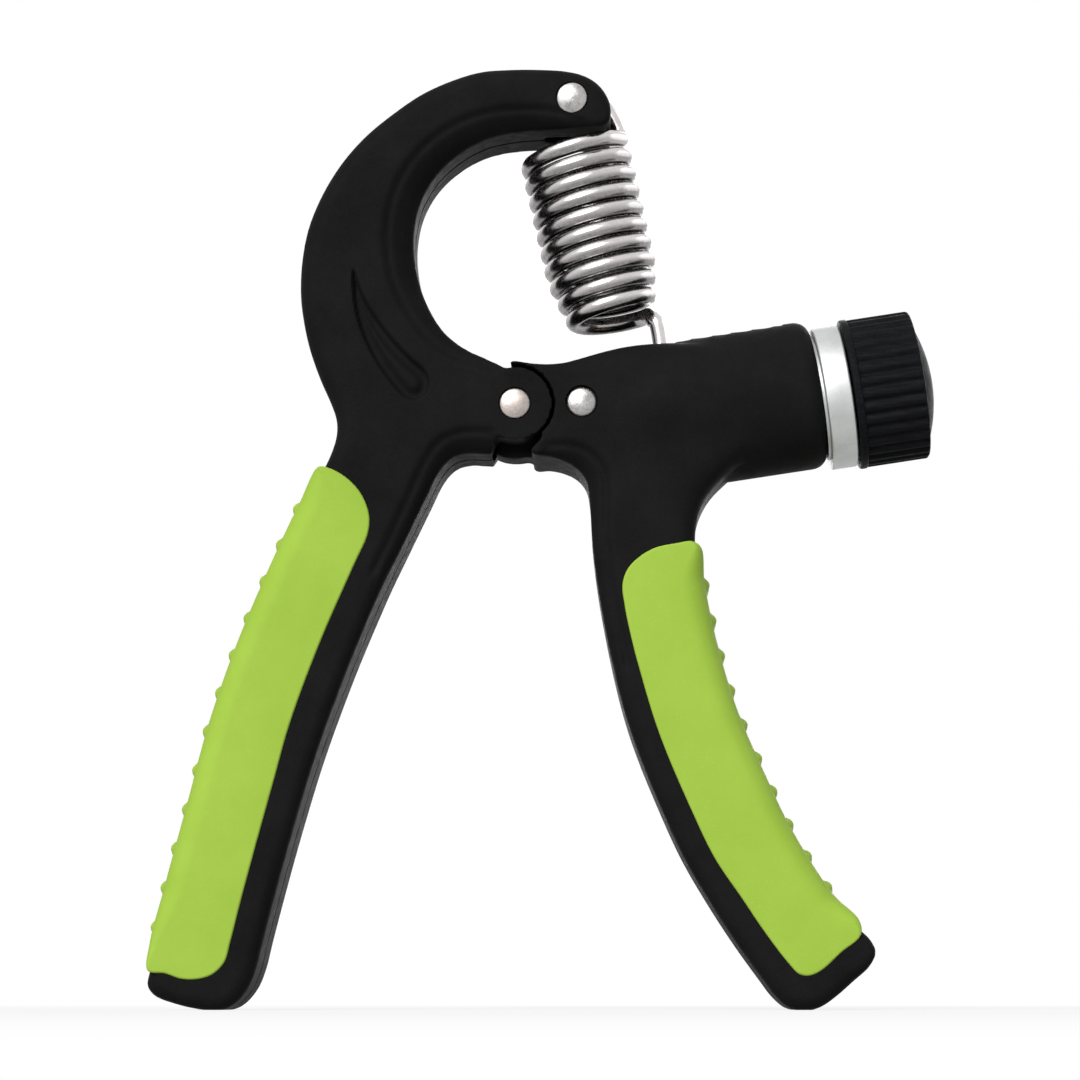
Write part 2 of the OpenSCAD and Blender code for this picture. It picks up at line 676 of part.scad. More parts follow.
// A rib's crown and the groove after it, in shares of the step from rib to rib
rib_marks = [-0.32, 0.32, 0.42, 0.58];
function rib_outline(r, d) = [
    for (i = [0 : ribs - 1], k = [0 : 3])
    let (a = 360 / ribs * (i + rib_marks[k]), q = k < 2 ? r : r - d)
    [q * cos(a), q * sin(a)]
];
rim_w = 1.3;
rim_edge = 0.4;
chamfer_l = 2.4;
chamfer_w = 0.9;
crown_h = 0.45;
module knob() {
    color([0.12, 0.12, 0.14])
        difference() {
            union() {
                on_axis(knob_from)
                    rotate_extrude()
                        polygon([
                            [0, 0], [rim_r - rim_edge, 0], [rim_r, rim_edge],
                            [rim_r, rim_w - rim_edge / 2], [rim_r - rim_edge / 2, rim_w], [0, rim_w]
                        ]);
                on_axis(knob_from)
                    intersection() {
                        linear_extrude(height = knob_l)
                            polygon(rib_outline(rib_r, rib_d));
                        rotate_extrude()
                            polygon([
                                [0, 0], [rib_r + 1, 0], [rib_r + 1, knob_l - chamfer_l],
                                [rib_r - chamfer_w, knob_l - crown_h], [cap_r, knob_l], [0, knob_l]
                            ]);
                    }
            }
            axis_rod(knob_from - 1, screw_end + drive_depth_play, drive_r + seat_play);
            axis_rod(knob_from - 1, collar_to + 0.1, screw_r + run_play);
            axis_rod(knob_from - 1, ring_to + thrust_t + 3 * thrust_play, thrust_r + thrust_side);
            axis_rod(knob_from, knob_to + 1, fix_r + 0.1);
            axis_rod(knob_floor, knob_to + 1, well_r);
        }
}
module knob_screw() {
    color("silver") {
        axis_rod(collar_to + 1.5, knob_floor + 0.5, fix_r);
        difference() {
            axis_rod(knob_floor + 0.05, knob_floor + 0.05 + fix_head_h, fix_head_r);
            on_axis(knob_floor + 1.15)
                cylinder(h = 2, r = 1.3, $fn = 6);
        }
    }
}
module knob_cap() {
    dome = (cap_r * cap_r + cap_h * cap_h) / (2 * cap_h);
    color([0.1, 0.1, 0.12]) {
        intersection() {
            on_axis(knob_to + cap_h - dome)
                sphere(r = dome, $fn = 96);
            axis_rod(knob_to + 0.02, knob_to + cap_h + 1, cap_r - 0.1);
        }
        axis_rod(knob_to - 1.2, knob_to + 0.1, well_r - 0.03);
    }
}

module ears() {
    low = chamber_r / 2;
    bevel = ear_r / 2;
    translate(barrel_point(hook_s, 0))
        rotate([90, -barrel_tilt, 0])
            linear_extrude(height = 2 * ear_half, center = true)
                polygon([
                    [-ear_r, low], [ear_r, low], [ear_r, hook_h + bevel],
                    [bevel, hook_h + ear_r], [-bevel, hook_h + ear_r], [-ear_r, hook_h + bevel]
                ]);
}
module slide_nut() {
    color([0.75, 0.65, 0.4])
        difference() {
            union() {
                axis_rod(nut_from, nut_to, chamber_r - 0.1);
                ears();
            }
            axis_block(nut_from - 1, nut_to + 1, hook_h - lower_hook_r - wire_r - 0.3, 20, fork_half);
            axis_rod(nut_from - 1, nut_to + 1, screw_r + run_play);
            cross_pin(hook_at, hook_pin_r + seat_play, -lever_t, lever_t);
        }
}
module hook_pin() {
    color("silver")
        cross_pin(hook_at, hook_pin_r, -ear_half + 0.05, ear_half - 0.05);
}

// ---- Tension spring: one unbroken wire, from the hook at the top to the hook at the bottom ----
coil_top = spring_pin + [0.3, 0, -6.95];
coil_tilt = 12.5;
coil_axis = [-sin(coil_tilt), 0, cos(coil_tilt)];
coil_side = [cos(coil_tilt), 0, sin(coil_tilt)];
coil_back = [0, 1, 0];
curl_rings = 8;
taper_coils = 3;
taper_power = 1.1;
function coil_radius(t) =
    let (u = max(0, t - coils + taper_coils) / taper_coils)
    coil_r - (coil_r - coil_end_r) * pow(u, taper_power);
// Turns are counted down from the right side at the top, and each starts across the front
function coil_point(t) =
    coil_top - coil_axis * coil_pitch * t
    + coil_radius(t) * (coil_side * cos(360 * t) - coil_back * sin(360 * t));

// The wire bends out of the coil, up at its top and down at its bottom, in the middle plane
bend_r = 2.3;
bend_steps = [0, 30, 60, 90];
function bend_from(at, heading, turn_to) =
    [for (a = bend_steps) at + bend_r * (heading * sin(a) + turn_to * (1 - cos(a)))];
coil_from = asin(bend_r / coil_r) / 360;
coil_to = coils - asin(bend_r / coil_end_r) / 360;
coil_count = floor(coils * curl_rings);
coil_run = [
    for (k = [0 : coil_count]) coil_point(coil_from + (coil_to - coil_from) * k / coil_count)
];
upper_bend = bend_from(coil_run[0], coil_back, coil_axis);
lower_bend = bend_from(coil_run[coil_count], -coil_back, -coil_axis);

// A hook leaves the coil's side, runs past its pin and goes part of the way round it
function arc_round(at, radius, from, to, count) =
    [for (k = [0 : count]) let (a = from + (to - from) * k / count) at + radius * [cos(a), 0, sin(a)]];
upper_loop = arc_round(spring_pin, upper_hook_r, 75, 215, 6);
upper_lead = [spring_pin + [6.9, 0, -1.2], spring_pin + [5.5, 0, 0.8], spring_pin + [3.5, 0, 2.3]];
lower_loop = arc_round(hook_at, lower_hook_r, 0, -200, 8);
lower_lead = [hook_at + [2.3, 0, 6.2], hook_at + [lower_hook_r - 0.15, 0, 3.2]];
function reversed(p) = [for (i = [len(p) - 1 : -1 : 0]) p[i]];
wire_path = concat(
    reversed(concat(upper_bend, upper_lead, upper_loop)),
    [for (i = [1 : coil_count - 1]) coil_run[i]],
    lower_bend, lower_lead, lower_loop
);

// The tube's cross-sections are carried along the path without twist
wire_sides = 6;
function unit(v) = v / norm(v);
function heading(p, i) = unit(p[min(i + 1, len(p) - 1)] - p[max(i - 1, 0)]);
function carry(side, dir) = unit(side - dir * (side * dir));
function sides_along(p, i, side) =
    i == len(p) ? [] : let (s = carry(side, heading(p, i))) concat([s], sides_along(p, i + 1, s));
module wire(p) {
    sides = sides_along(p, 0, [0, 1, 0]);
    n = wire_sides;
    points = [
        for (i = [0 : len(p) - 1], k = [0 : n - 1])
        let (up = cross(heading(p, i), sides[i]), a = 360 * k / n)
        p[i] + wire_r * (sides[i] * cos(a) + up * sin(a))
    ];
    walls = [
        for (i = [0 : len(p) - 2], k = [0 : n - 1], half_face = [0, 1])
        let (j = (k + 1) % n, a = i * n, b = (i + 1) * n)
        half_face == 0 ? [a + k, b + k, b + j] : [a + k, b + j, a + j]
    ];
    last = (len(p) - 1) * n;
    caps = [[for (k = [0 : n - 1]) k], [for (k = [n - 1 : -1 : 0]) last + k]];
    polyhedron(points, concat(walls, caps), convexity = 10);
}
module spring() {
    color([0.8, 0.8, 0.82])
        wire(wire_path);
}
// Least distance between stretches of the wire that aren't neighbours, less its thickness
apart = 5;
least_gap = min([
    for (i = [0 : len(wire_path) - 1 - apart], j = [i + apart : len(wire_path) - 1])
    norm(wire_path[i] - wire_path[j])
]) - wire_d;
echo("least gap of the spring wire to itself", least_gap);

left_lever();
left_grip();
pivot_rivet();
spring_rivet();
left_rivet_washers();
right_lever();
right_grip();
pivot_bush();
screw_retaining_pin();
retaining_pin_washer();
end_ring();
adjuster_screw();
thrust_washer();
knob();
knob_screw();
knob_cap();
slide_nut();
hook_pin();
spring();
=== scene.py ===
"""Looks of the adjustable hand grip strengthener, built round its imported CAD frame.

Shapes are worked out in millimetres, in the frame's own axes (X to the knob, Y to the back,
Z up), and turned into metres when a piece is done.
"""

import itertools
import json
from math import asin, atan2, cos, dist, pi, radians, sin, sqrt

import bpy
import bmesh
import numpy as np
from mathutils import Matrix, Vector
from mathutils.geometry import tessellate_polygon
from numpy.linalg import norm


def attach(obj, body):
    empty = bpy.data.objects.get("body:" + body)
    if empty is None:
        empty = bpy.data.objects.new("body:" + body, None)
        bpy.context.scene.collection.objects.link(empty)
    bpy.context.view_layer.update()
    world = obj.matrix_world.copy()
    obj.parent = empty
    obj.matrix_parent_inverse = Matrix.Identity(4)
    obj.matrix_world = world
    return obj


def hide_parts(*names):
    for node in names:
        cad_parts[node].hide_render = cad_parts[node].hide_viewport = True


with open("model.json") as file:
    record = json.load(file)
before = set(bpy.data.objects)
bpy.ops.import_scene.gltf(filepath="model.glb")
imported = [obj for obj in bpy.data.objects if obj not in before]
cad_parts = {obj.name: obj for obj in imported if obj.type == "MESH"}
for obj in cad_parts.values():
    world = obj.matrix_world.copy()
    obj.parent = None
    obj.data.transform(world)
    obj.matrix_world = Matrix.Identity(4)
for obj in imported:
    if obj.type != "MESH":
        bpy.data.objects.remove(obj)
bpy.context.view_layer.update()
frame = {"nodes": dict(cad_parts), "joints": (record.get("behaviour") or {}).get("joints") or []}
MM = 0.001

# ---- Places taken from the frame's joints ----
JOINTS = {joint["name"]: joint for joint in frame["joints"]}
PIVOT = np.array(JOINTS["squeeze"]["pos_m"], float) / MM
SPRING_PIN = np.array(JOINTS["spring_swing"]["pos_m"], float) / MM
ALONG = np.array(JOINTS["nut_slide"]["axis"], float)
UPWARD = np.array([-ALONG[2], 0, ALONG[0]])
BACK = np.array([0.0, 1.0, 0.0])

# ---- Sizes, as the CAD part has them ----
LEVER_T = 22
HALF_T = LEVER_T / 2
CHEEK_R = 6.25
SEAT_R = 6.76
TONGUE_HALF = 3.9
TONGUE_R = 8.4
SLOT_R = 8.7
SLOT_HALF = 4.05
SHOULDER_ANGLE = -76
SQUEEZE_ANGLE = 38
NOTCH_PLAY = 2.5
NOTCH_ANGLE = SHOULDER_ANGLE - SQUEEZE_ANGLE - NOTCH_PLAY
SEAT_TOP_ANGLE = 97
LOBE_TOP_ANGLE = -40
LOBE_PLAY = 2
# The arm's side of the pivot, where the right lever's tongue never comes
SLOT_SPARED = (104, 156)
SECTOR_REACH = 14
BUSH_R = 3.28
HEAD_R = 2.65
HEAD_H = 0.8
PIVOT_PIN_R = 2
SMALL_PIN_R = 1.75
WASHER_R = 3.3
WASHER_T = 0.6
BORE_PLAY = 0.12
BACK_SINK = 0.9
AXIS_DROP = 5.6
BARREL_END = 51.6
BARREL_R = 12.7
BARREL_LIFT = 1
CHAMBER_R = 8
CHAMBER_FROM = 17.8
SPIGOT_FROM = 47.4
SCREW_R = 3.5
SCREW_BORE_R = SCREW_R + 0.06
SCREW_BORE_FROM = 7.3
HOOK_S = 22.4
HOOK_H = 8.8
HOOK_PIN_R = 1.5
EAR_R = 3
EAR_SLOT_HALF = 3.55
EAR_SLOT_FLOOR = 4
EAR_SLOT_TOP = 20
EAR_SLOT_SPARE = 1.7
NUT_TRAVEL = 20
RETAINING_S = 11.22
RETAINING_D = 4.2
GRIP_PROUD = 1
GRIP_FACE_PROUD = 0.3
GRIP_ROUND = 4
GRIP_END_ROUND = 1.5
NUB_REACH = 1.35
NUB_H = 0.85
NUB_ROWS = (-5.8, 0, 5.8)


def barrel_point(s, d):
    """A point s along the screw's axis from the pivot and d above the axis."""
    return PIVOT + ALONG * s + UPWARD * (d - AXIS_DROP)


HOOK_AT = barrel_point(HOOK_S, HOOK_H)
RETAINING_AT = barrel_point(RETAINING_S, RETAINING_D)


def edged(radius, points):
    """Gives the radius to the points that name none of their own."""
    return [p if len(p) > 2 else (*p, radius) for p in points]


# ---- Outlines round the pivot: right, up, and the radius of the edge ----
ARM_INNER = [
    (0.6, 4.4, 0.6), (-1.4, 6, 0.8), (-4.8, 7.8, 1.4), (-8.7, 9.8, 2.2), (-12.2, 12.8, 3),
    (-14.7, 16.8, 3.6), (-16.4, 21.2, 4.2), (-17.3, 25.8, 4.5), (-17.4, 30.2, 4.5),
    (-16.4, 35.2, 4.5), (-13.9, 39.9, 4.4), (-9.9, 43.8, 4.2), (-4.9, 46.5, 3.8),
    (0.5, 47.6, 3.4), (6, 47.9, 2.8), (11, 48, 1.6), (14.4, 48.05, 0.8),
]
ARM_OUTER = edged(3, [
    (15.8, 48.5, 0.8), (16.3, 49.8, 0.9), (16.2, 52, 1.8), (15.3, 54.2, 2.6), (13.8, 56),
    (11.5, 57.3), (8.5, 58), (4, 58.3), (-1, 58.3), (-6, 57.9), (-11, 56.4), (-16, 54.1),
    (-20.8, 50.8), (-25.6, 46.8), (-29.6, 42.2), (-32.9, 36.8), (-35.3, 30.9), (-36.4, 25),
    (-36.6, 19.3), (-36.1, 14.9), (-35, 9.9), (-33.1, 4.5), (-31.2, 0.2), (-30.3, -2.6, 2.8),
    (-30.3, -5.3, 2.6), (-31.2, -8.3, 2.6),
])
LEFT_OUTER = edged(3, [
    (-32.6, -11.3, 2.6), (-35.8, -17.2), (-41.3, -29.2), (-46.3, -41.4), (-50.6, -54.1),
    (-54.2, -68), (-57.7, -81.4), (-59.8, -91),
])
LEFT_FOOT = edged(2.4, [
    (-60.9, -95.6, 2.8), (-61.2, -97.6, 2.6), (-60, -99.3), (-56.5, -100.7), (-52.5, -101.6),
    (-49.5, -101.9), (-46.8, -100.9), (-44.4, -98.2), (-43, -94.8),
])
LEFT_INNER = edged(2.3, [
    (-41.9, -90.2), (-39.1, -79.3), (-36.6, -70.2), (-33.2, -58.9), (-27.8, -44), (-22.6, -31.5),
    (-19.7, -25.4, 2.4), (-15.1, -15.8, 2.6), (-12.7, -11, 2.8), (-10.6, -8.8, 3.2),
    (-8.2, -8.1, 3.4), (-5, -8.2, 3.4),
])
LEFT_HUB = [(-1.5, -8.2, 2.6), (1, -6.4, 1), (2, -2, 1), (1.6, 2, 0.8)]
LEFT_GRIP_EDGE = edged(0.4, [
    (-60.9, -95.2, 0.5), (-58, -95.7), (-55.2, -96.6), (-52.4, -96.6), (-50, -95.8),
    (-48.1, -93.8), (-47.1, -90.3), (-45.4, -83.4), (-43.1, -74.6), (-40, -63.1), (-37.6, -54.3),
    (-32.7, -40.8), (-27.2, -28), (-24.7, -22.2), (-24.5, -19), (-26, -15.2), (-29, -12.2),
    (-32.4, -10.7, 0.5),
])
RIGHT_HUB = edged(0.3, [
    (-0.9, 6.9, 0.2), (0.5, 5), (1.2, 0), (3.5, -4), (4.6, -5.6), (3.6, -6.9), (2.6, -8.1),
])
RIGHT_INNER = edged(2.4, [
    (3.6, -8.75, 0.5), (5.5, -8.8, 1.6), (8.2, -9.5, 2.6), (10.5, -10.8, 3.2), (12, -12.8, 3.2),
    (12.6, -16.2, 2.8), (13, -23.1), (13.9, -30.7), (15.2, -38.2), (17, -46.8), (18.8, -53.6),
    (20.8, -59.4), (24.1, -67.5), (28, -76.1), (32.5, -83.9), (37.1, -91), (41.2, -96.7),
])
RIGHT_FOOT = edged(2.4, [
    (43.4, -99.6), (45.6, -101.4), (48.2, -101.9), (50.8, -101.2), (53.2, -99.6), (56.2, -97),
    (58.9, -94.5, 1.6), (59.9, -92.2, 1.2), (59.1, -90.2, 1.6),
])
RIGHT_OUTER = edged(3, [
    (56.5, -87.6, 2.8), (52.2, -83), (45.4, -72.2), (41.3, -63.6), (36.4, -52), (33, -40.4),
    (31, -30.5), (30.4, -24.7, 2.6),
])
BARREL_UNDER = [
    (30.5, -21.2, 2.8), (31.4, -17.6, 3.2), (33.2, -14.4, 3.8), (36.2, -11.4, 4.2),
    (40, -8.2, 3.6), (43.4, -5.6, 2.4), (44.8, -3.4, 1.6),
]
BARREL_OVER = [
    (45.2, 1, 1.6), (44.4, 4.8, 1.8), (41.4, 7.2, 2.6), (36, 9.6, 4), (29, 11, 5),
    (20, 10.6, 5), (14.2, 9.25, 3.5), (11.5, 8.25, 2.6), (8.6, 7.25, 2), (5.2, 6.85, 1.2),
    (1.8, 7.05, 0.6), (-0.4, 7.4, 0.4),
]
RIGHT_GRIP_EDGE = edged(0.4, [
    (29.9, -23.6, 0.5), (27.3, -23.9), (23.6, -24.7), (20.7, -26.4), (18.9, -28.4), (18.1, -30.9),
    (18.5, -34.7), (19.6, -40.1), (21.3, -46.6), (23.5, -54), (25.6, -59.7), (29.6, -69),
    (33.3, -76.7), (37.8, -83.4), (41.7, -89.2), (45.6, -94.3), (47.1, -95.8), (48.6, -96.1),
    (50, -95.7), (51.4, -94.8), (54.1, -92.3), (57.4, -89.4, 0.5),
])
DROP_OUTLINE = [
    (-27.5, 23.4), (-27.7, 20), (-27.1, 15.5), (-25.6, 11), (-23.4, 6.8), (-20.8, 3.2), (-18.6, 1),
    (-16.6, 0.6), (-14.9, 1.7), (-14.4, 3.7), (-15.1, 5.7), (-17.6, 8), (-20.4, 11), (-23.2, 14.6),
    (-25.6, 18.6),
]
# Stretches of the outlines with a stepped bevel, by their first and last points
ARM_CREASE = (1, 15)
LEFT_CREASE = (6, 11)
RIGHT_CREASE = (1, 8)
# Points of the curve from one point of an outline to the next
STEPS = 6
DROP_STEPS = 5


# ---- Curves ----
def placed(points):
    moved = np.array(points, float)
    moved[:, :2] += PIVOT[[0, 2]]
    return moved


def creased(points, first=0, last=-1):
    """Adds a fourth number: 1 where the edge has a stepped bevel, 0 where it is round."""
    return [(*p, float(first <= i <= last)) for i, p in enumerate(points)]


def curve_between(p, q, r, s, shares):
    """A smooth stretch from q to r, with its neighbours p and s."""
    pairs = (p, q), (q, r), (r, s)
    t0, t1, t2, t3 = np.cumsum([0] + [sqrt(dist(a[:2], b[:2])) for a, b in pairs])
    t = (t1 + shares * (t2 - t1))[:, None]

    def between(a, b, ta, tb):
        return a * (tb - t) / (tb - ta) + b * (t - ta) / (tb - ta)

    a1, a2, a3 = between(p, q, t0, t1), between(q, r, t1, t2), between(r, s, t2, t3)
    return between(between(a1, a2, t0, t2), between(a2, a3, t1, t3), t1, t2)


def closed_curve(points, steps=STEPS):
    n = len(points)
    shares = np.arange(steps) / steps
    stretches = [
        curve_between(points[i - 1], points[i], points[(i + 1) % n], points[(i + 2) % n], shares)
        for i in range(n)
    ]
    return np.concatenate(stretches)


def inward(outline):
    """Unit steps from each point of the outline into the material."""
    d = np.roll(outline[:, :2], -1, 0) - np.roll(outline[:, :2], 1, 0)
    d /= norm(d, axis=1)[:, None]
    return np.stack([-d[:, 1], d[:, 0]], 1)


def arc(centre, radius, degrees_from, degrees_to, count=7):
    return [
        (centre[0] + radius * cos(a), centre[1] + radius * sin(a))
        for a in np.radians(np.linspace(degrees_from, degrees_to, count))
    ]


def ease(x):
    x = np.clip(x, 0, 1)
    return x * x * (3 - 2 * x)


# ---- Meshes ----
def add_to_scene(name, data):
    obj = bpy.data.objects.new(name, data)
    bpy.context.scene.collection.objects.link(obj)
    return obj


def add_mesh(name, verts, faces):
    """Adds a mesh, with its faces turned so that they all look out."""
    mesh = bpy.data.meshes.new(name)
    mesh.from_pydata([tuple(map(float, v)) for v in verts], [], faces)
    mesh.validate()
    bm = bmesh.new()
    bm.from_mesh(mesh)
    bmesh.ops.recalc_face_normals(bm, faces=bm.faces)
    if bm.calc_volume(signed=True) < 0:
        bmesh.ops.reverse_faces(bm, faces=bm.faces)
    bm.to_mesh(mesh)
    bm.free()
    return add_to_scene(name, mesh)


def bake(obj):
    """Turns the object's modifiers into its mesh."""
    bpy.context.view_layer.update()
    evaluated = obj.evaluated_get(bpy.context.evaluated_depsgraph_get())
    mesh = bpy.data.meshes.new_from_object(evaluated)
    old = obj.data
    obj.modifiers.clear()
    obj.data = mesh
    bpy.data.meshes.remove(old)


def combine(obj, tool, operation):
    modifier = obj.modifiers.new("combine", "BOOLEAN")
    modifier.solver = "MANIFOLD"
    modifier.operation = operation
    modifier.object = tool
    bake(obj)
    bpy.data.meshes.remove(tool.data)


def cut(obj, tool):
    combine(obj, tool, "DIFFERENCE")


def fuse(obj, tool):
    combine(obj, tool, "UNION")


def vectors(items, key):
    """The vectors under a name, of all of a mesh's corners or faces."""
    values = np.empty(len(items) * 3, np.float32)
    items.foreach_get(key, values)
    return values.reshape(-1, 3)


def corners(obj):
    return vectors(obj.data.vertices, "co").astype(float)


def set_corners(obj, co):
    obj.data.vertices.foreach_set("co", co.astype(np.float32).ravel())
    obj.data.update()


def relax(obj, rounds, weight=None, push=0.0):
    """Moves each corner towards its neighbours' mean. A push keeps the volume."""
    co = corners(obj)
    n = len(co)
    edges = np.empty(len(obj.data.edges) * 2, np.int32)
    obj.data.edges.foreach_get("vertices", edges)
    a, b = edges.reshape(-1, 2).T
    count = np.bincount(edges, minlength=n)[:, None]
    share = np.ones((n, 1)) if weight is None else weight(co)[:, None]

    def step(amount):
        total = np.stack(
            [np.bincount(a, co[b, k], n) + np.bincount(b, co[a, k], n) for k in range(3)], 1
        )
        return co + amount * share * (total / count - co)

    for _ in range(rounds):
        co = step(0.5)
        if push:
            co = step(-push)
    set_corners(obj, co)


def tube_faces(rings, n):
    """Quads between rings of n points each."""
    return [
        (k * n + i, k * n + (i + 1) % n, (k + 1) * n + (i + 1) % n, (k + 1) * n + i)
        for k in range(rings - 1) for i in range(n)
    ]


def closed_faces(rings, outline):
    """Quads between rings of the outline's points, and triangles over both ends."""
    last = (rings - 1) * len(outline)
    triangles = tessellate_polygon([[Vector((x, z, 0)) for x, z in outline]])
    front = [tuple(t) for t in triangles]
    back = [tuple(last + i for i in reversed(t)) for t in triangles]
    return tube_faces(rings, len(outline)) + front + back


def prism(name, outline, half):
    """A plate of the outline's shape."""
    verts = [(x, side * half, z) for side in (-1, 1) for x, z in outline]
    return add_mesh(name, verts, closed_faces(2, outline))


# Shares of the edge radius, from the face to the side: how far in, and how deep
BEVEL = [
    (1, 0), (0.965, 0.03), (0.93, 0.085), (0.87, 0.11), (0.75, 0.19), (0.6, 0.3), (0.45, 0.43),
    (0.3, 0.57), (0.15, 0.76), (0, 1),
]


def rounded_slab(name, outline, half, middle=()):
    """A slab with rounded edges, and with the middle's rings between them."""
    steps_in = inward(outline)
    radius = outline[:, 2]
    crease = outline[:, 3] if outline.shape[1] > 3 else 0
    edges = []
    for side in (-1, 1):
        rings = []
        for turn, bevel in zip(np.linspace(0, pi / 2, len(BEVEL)), BEVEL):
            share_in = (1 - sin(turn)) * (1 - crease) + bevel[0] * crease
            share_deep = (1 - cos(turn)) * (1 - crease) + bevel[1] * crease
            xz = outline[:, :2] + steps_in * (radius * share_in)[:, None]
            rings.append(np.insert(xz, 1, side * (half - radius * share_deep), 1))
        edges.append(rings)
    rings = edges[0] + list(middle) + edges[1][::-1]
    faces = closed_faces(len(rings), rings[0][:, [0, 2]])
    return add_mesh(name, np.concatenate(rings), faces)


def side_vectors(axis):
    """Two unit vectors square to the axis and to each other."""
    axis = axis / norm(axis)
    first = BACK if abs(axis[1]) < 0.9 else np.array([1.0, 0, 0])
    first = first - axis * (first @ axis)
    first /= norm(first)
    return first, np.cross(axis, first)


# Segments of round shapes, plain and where they show at the pivot
SEGMENTS = 96
FINE = 192
ON_AXIS = 1e-6


def lathe(name, profile, at, axis, segments=SEGMENTS):
    """Turns a profile of (radius, height) round the axis through a point."""
    u, v = side_vectors(axis)
    turn = 2 * pi * np.arange(segments) / segments
    circle = np.cos(turn)[:, None] * u + np.sin(turn)[:, None] * v
    verts, starts = [], []
    for radius, height in profile:
        starts.append(len(verts))
        middle = at + axis * height
        verts += [middle] if radius < ON_AXIS else list(middle + radius * circle)

    def vert(k, i):
        return starts[k] + (i % segments if profile[k][0] > ON_AXIS else 0)

    walls = [(k, k + 1) for k in range(len(profile) - 1)]
    if profile[0][0] > ON_AXIS:
        walls.append((len(profile) - 1, 0))
    faces = []
    for k, m in walls:
        for i in range(segments):
            face = dict.fromkeys((vert(k, i), vert(k, i + 1), vert(m, i + 1), vert(m, i)))
            if len(face) > 2:
                faces.append(tuple(face))
    return add_mesh(name, verts, faces)


def rod(start, end, radius, segments=SEGMENTS):
    length = float(norm(end - start))
    profile = [(0, 0), (radius, 0), (radius, length), (0, length)]
    return lathe("rod", profile, start, (end - start) / length, segments)


def cross_rod(at, radius, y_from, y_to, segments=SEGMENTS):
    return rod(at + BACK * y_from, at + BACK * y_to, radius, segments)


def axis_rod(s_from, s_to, radius):
    return rod(barrel_point(s_from, 0), barrel_point(s_to, 0), radius)


def block(verts):
    """A block from its eight corners, in the order of itertools.product."""
    faces = [(0, 1, 3, 2), (4, 6, 7, 5), (0, 4, 5, 1), (2, 3, 7, 6), (0, 2, 6, 4), (1, 5, 7, 3)]
    return add_mesh("block", verts, faces)


def axis_block(s_from, s_to, low, high, half):
    base, u, w = barrel_point(s_from, low), ALONG * (s_to - s_from), UPWARD * (high - low)
    shares = itertools.product((0, 1), (-1, 1), (0, 1))
    return block([base + u * i + w * k + BACK * half * side for i, side, k in shares])


def box(low, high):
    return block(list(itertools.product(*zip(low, high))))


def sector(angle_from, angle_to):
    """A slice round the pivot between two angles, thicker than the levers."""
    middle = PIVOT[[0, 2]]
    rim = arc(middle, SECTOR_REACH, angle_from, angle_to, 25)
    return prism("sector", [tuple(middle)] + rim, LEVER_T)


def dress(obj, look):
    obj.data.materials.clear()
    obj.data.materials.append(LOOKS[look])


def finish_piece(obj, body, slot, *nodes, look=None, sharp=40):
    """Scales a piece to metres, smooths its shading and puts it on its body."""
    obj.data.transform(Matrix.Scale(MM, 4))
    dress(obj, look or slot)
    obj.data.polygons.foreach_set("use_smooth", [True] * len(obj.data.polygons))
    obj.data.set_sharp_from_angle(angle=radians(sharp))
    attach(obj, body)
    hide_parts(*nodes)
    return obj


# ---- Node trees ----
class Nodes:
    """Short ways to add nodes to a tree and to join them."""

    def __init__(self, tree):
        self.tree = tree
        tree.nodes.clear()

    def put(self, value, socket):
        """Joins another node's socket to this one, or stores a plain value in it."""
        if isinstance(value, bpy.types.NodeSocket):
            self.tree.links.new(value, socket)
        else:
            socket.default_value = value

    def add(self, kind, inputs=None, **settings):
        """Adds a node, of a shader kind if only the last part of its name is given."""
        node = self.tree.nodes.new(kind if "Node" in kind else "ShaderNode" + kind)
        for key, value in settings.items():
            setattr(node, key, value)
        for key, value in (inputs or {}).items():
            self.put(value, node.inputs[key])
        return node

    def maths(self, operation, first, second):
        return self.add("Math", {0: first, 1: second}, operation=operation).outputs["Value"]

    def vector(self, operation, *values, output="Vector", **named):
        inputs = {**dict(enumerate(values)), **named}
        return self.add("VectorMath", inputs, operation=operation).outputs[output]

    def spread(self, source, low, high, out_low=0.0, out_high=1.0):
        ends = {"From Min": low, "From Max": high, "To Min": out_low, "To Max": out_high}
        return self.add("MapRange", {"Value": source, **ends}).outputs["Result"]


LOOKS = {}


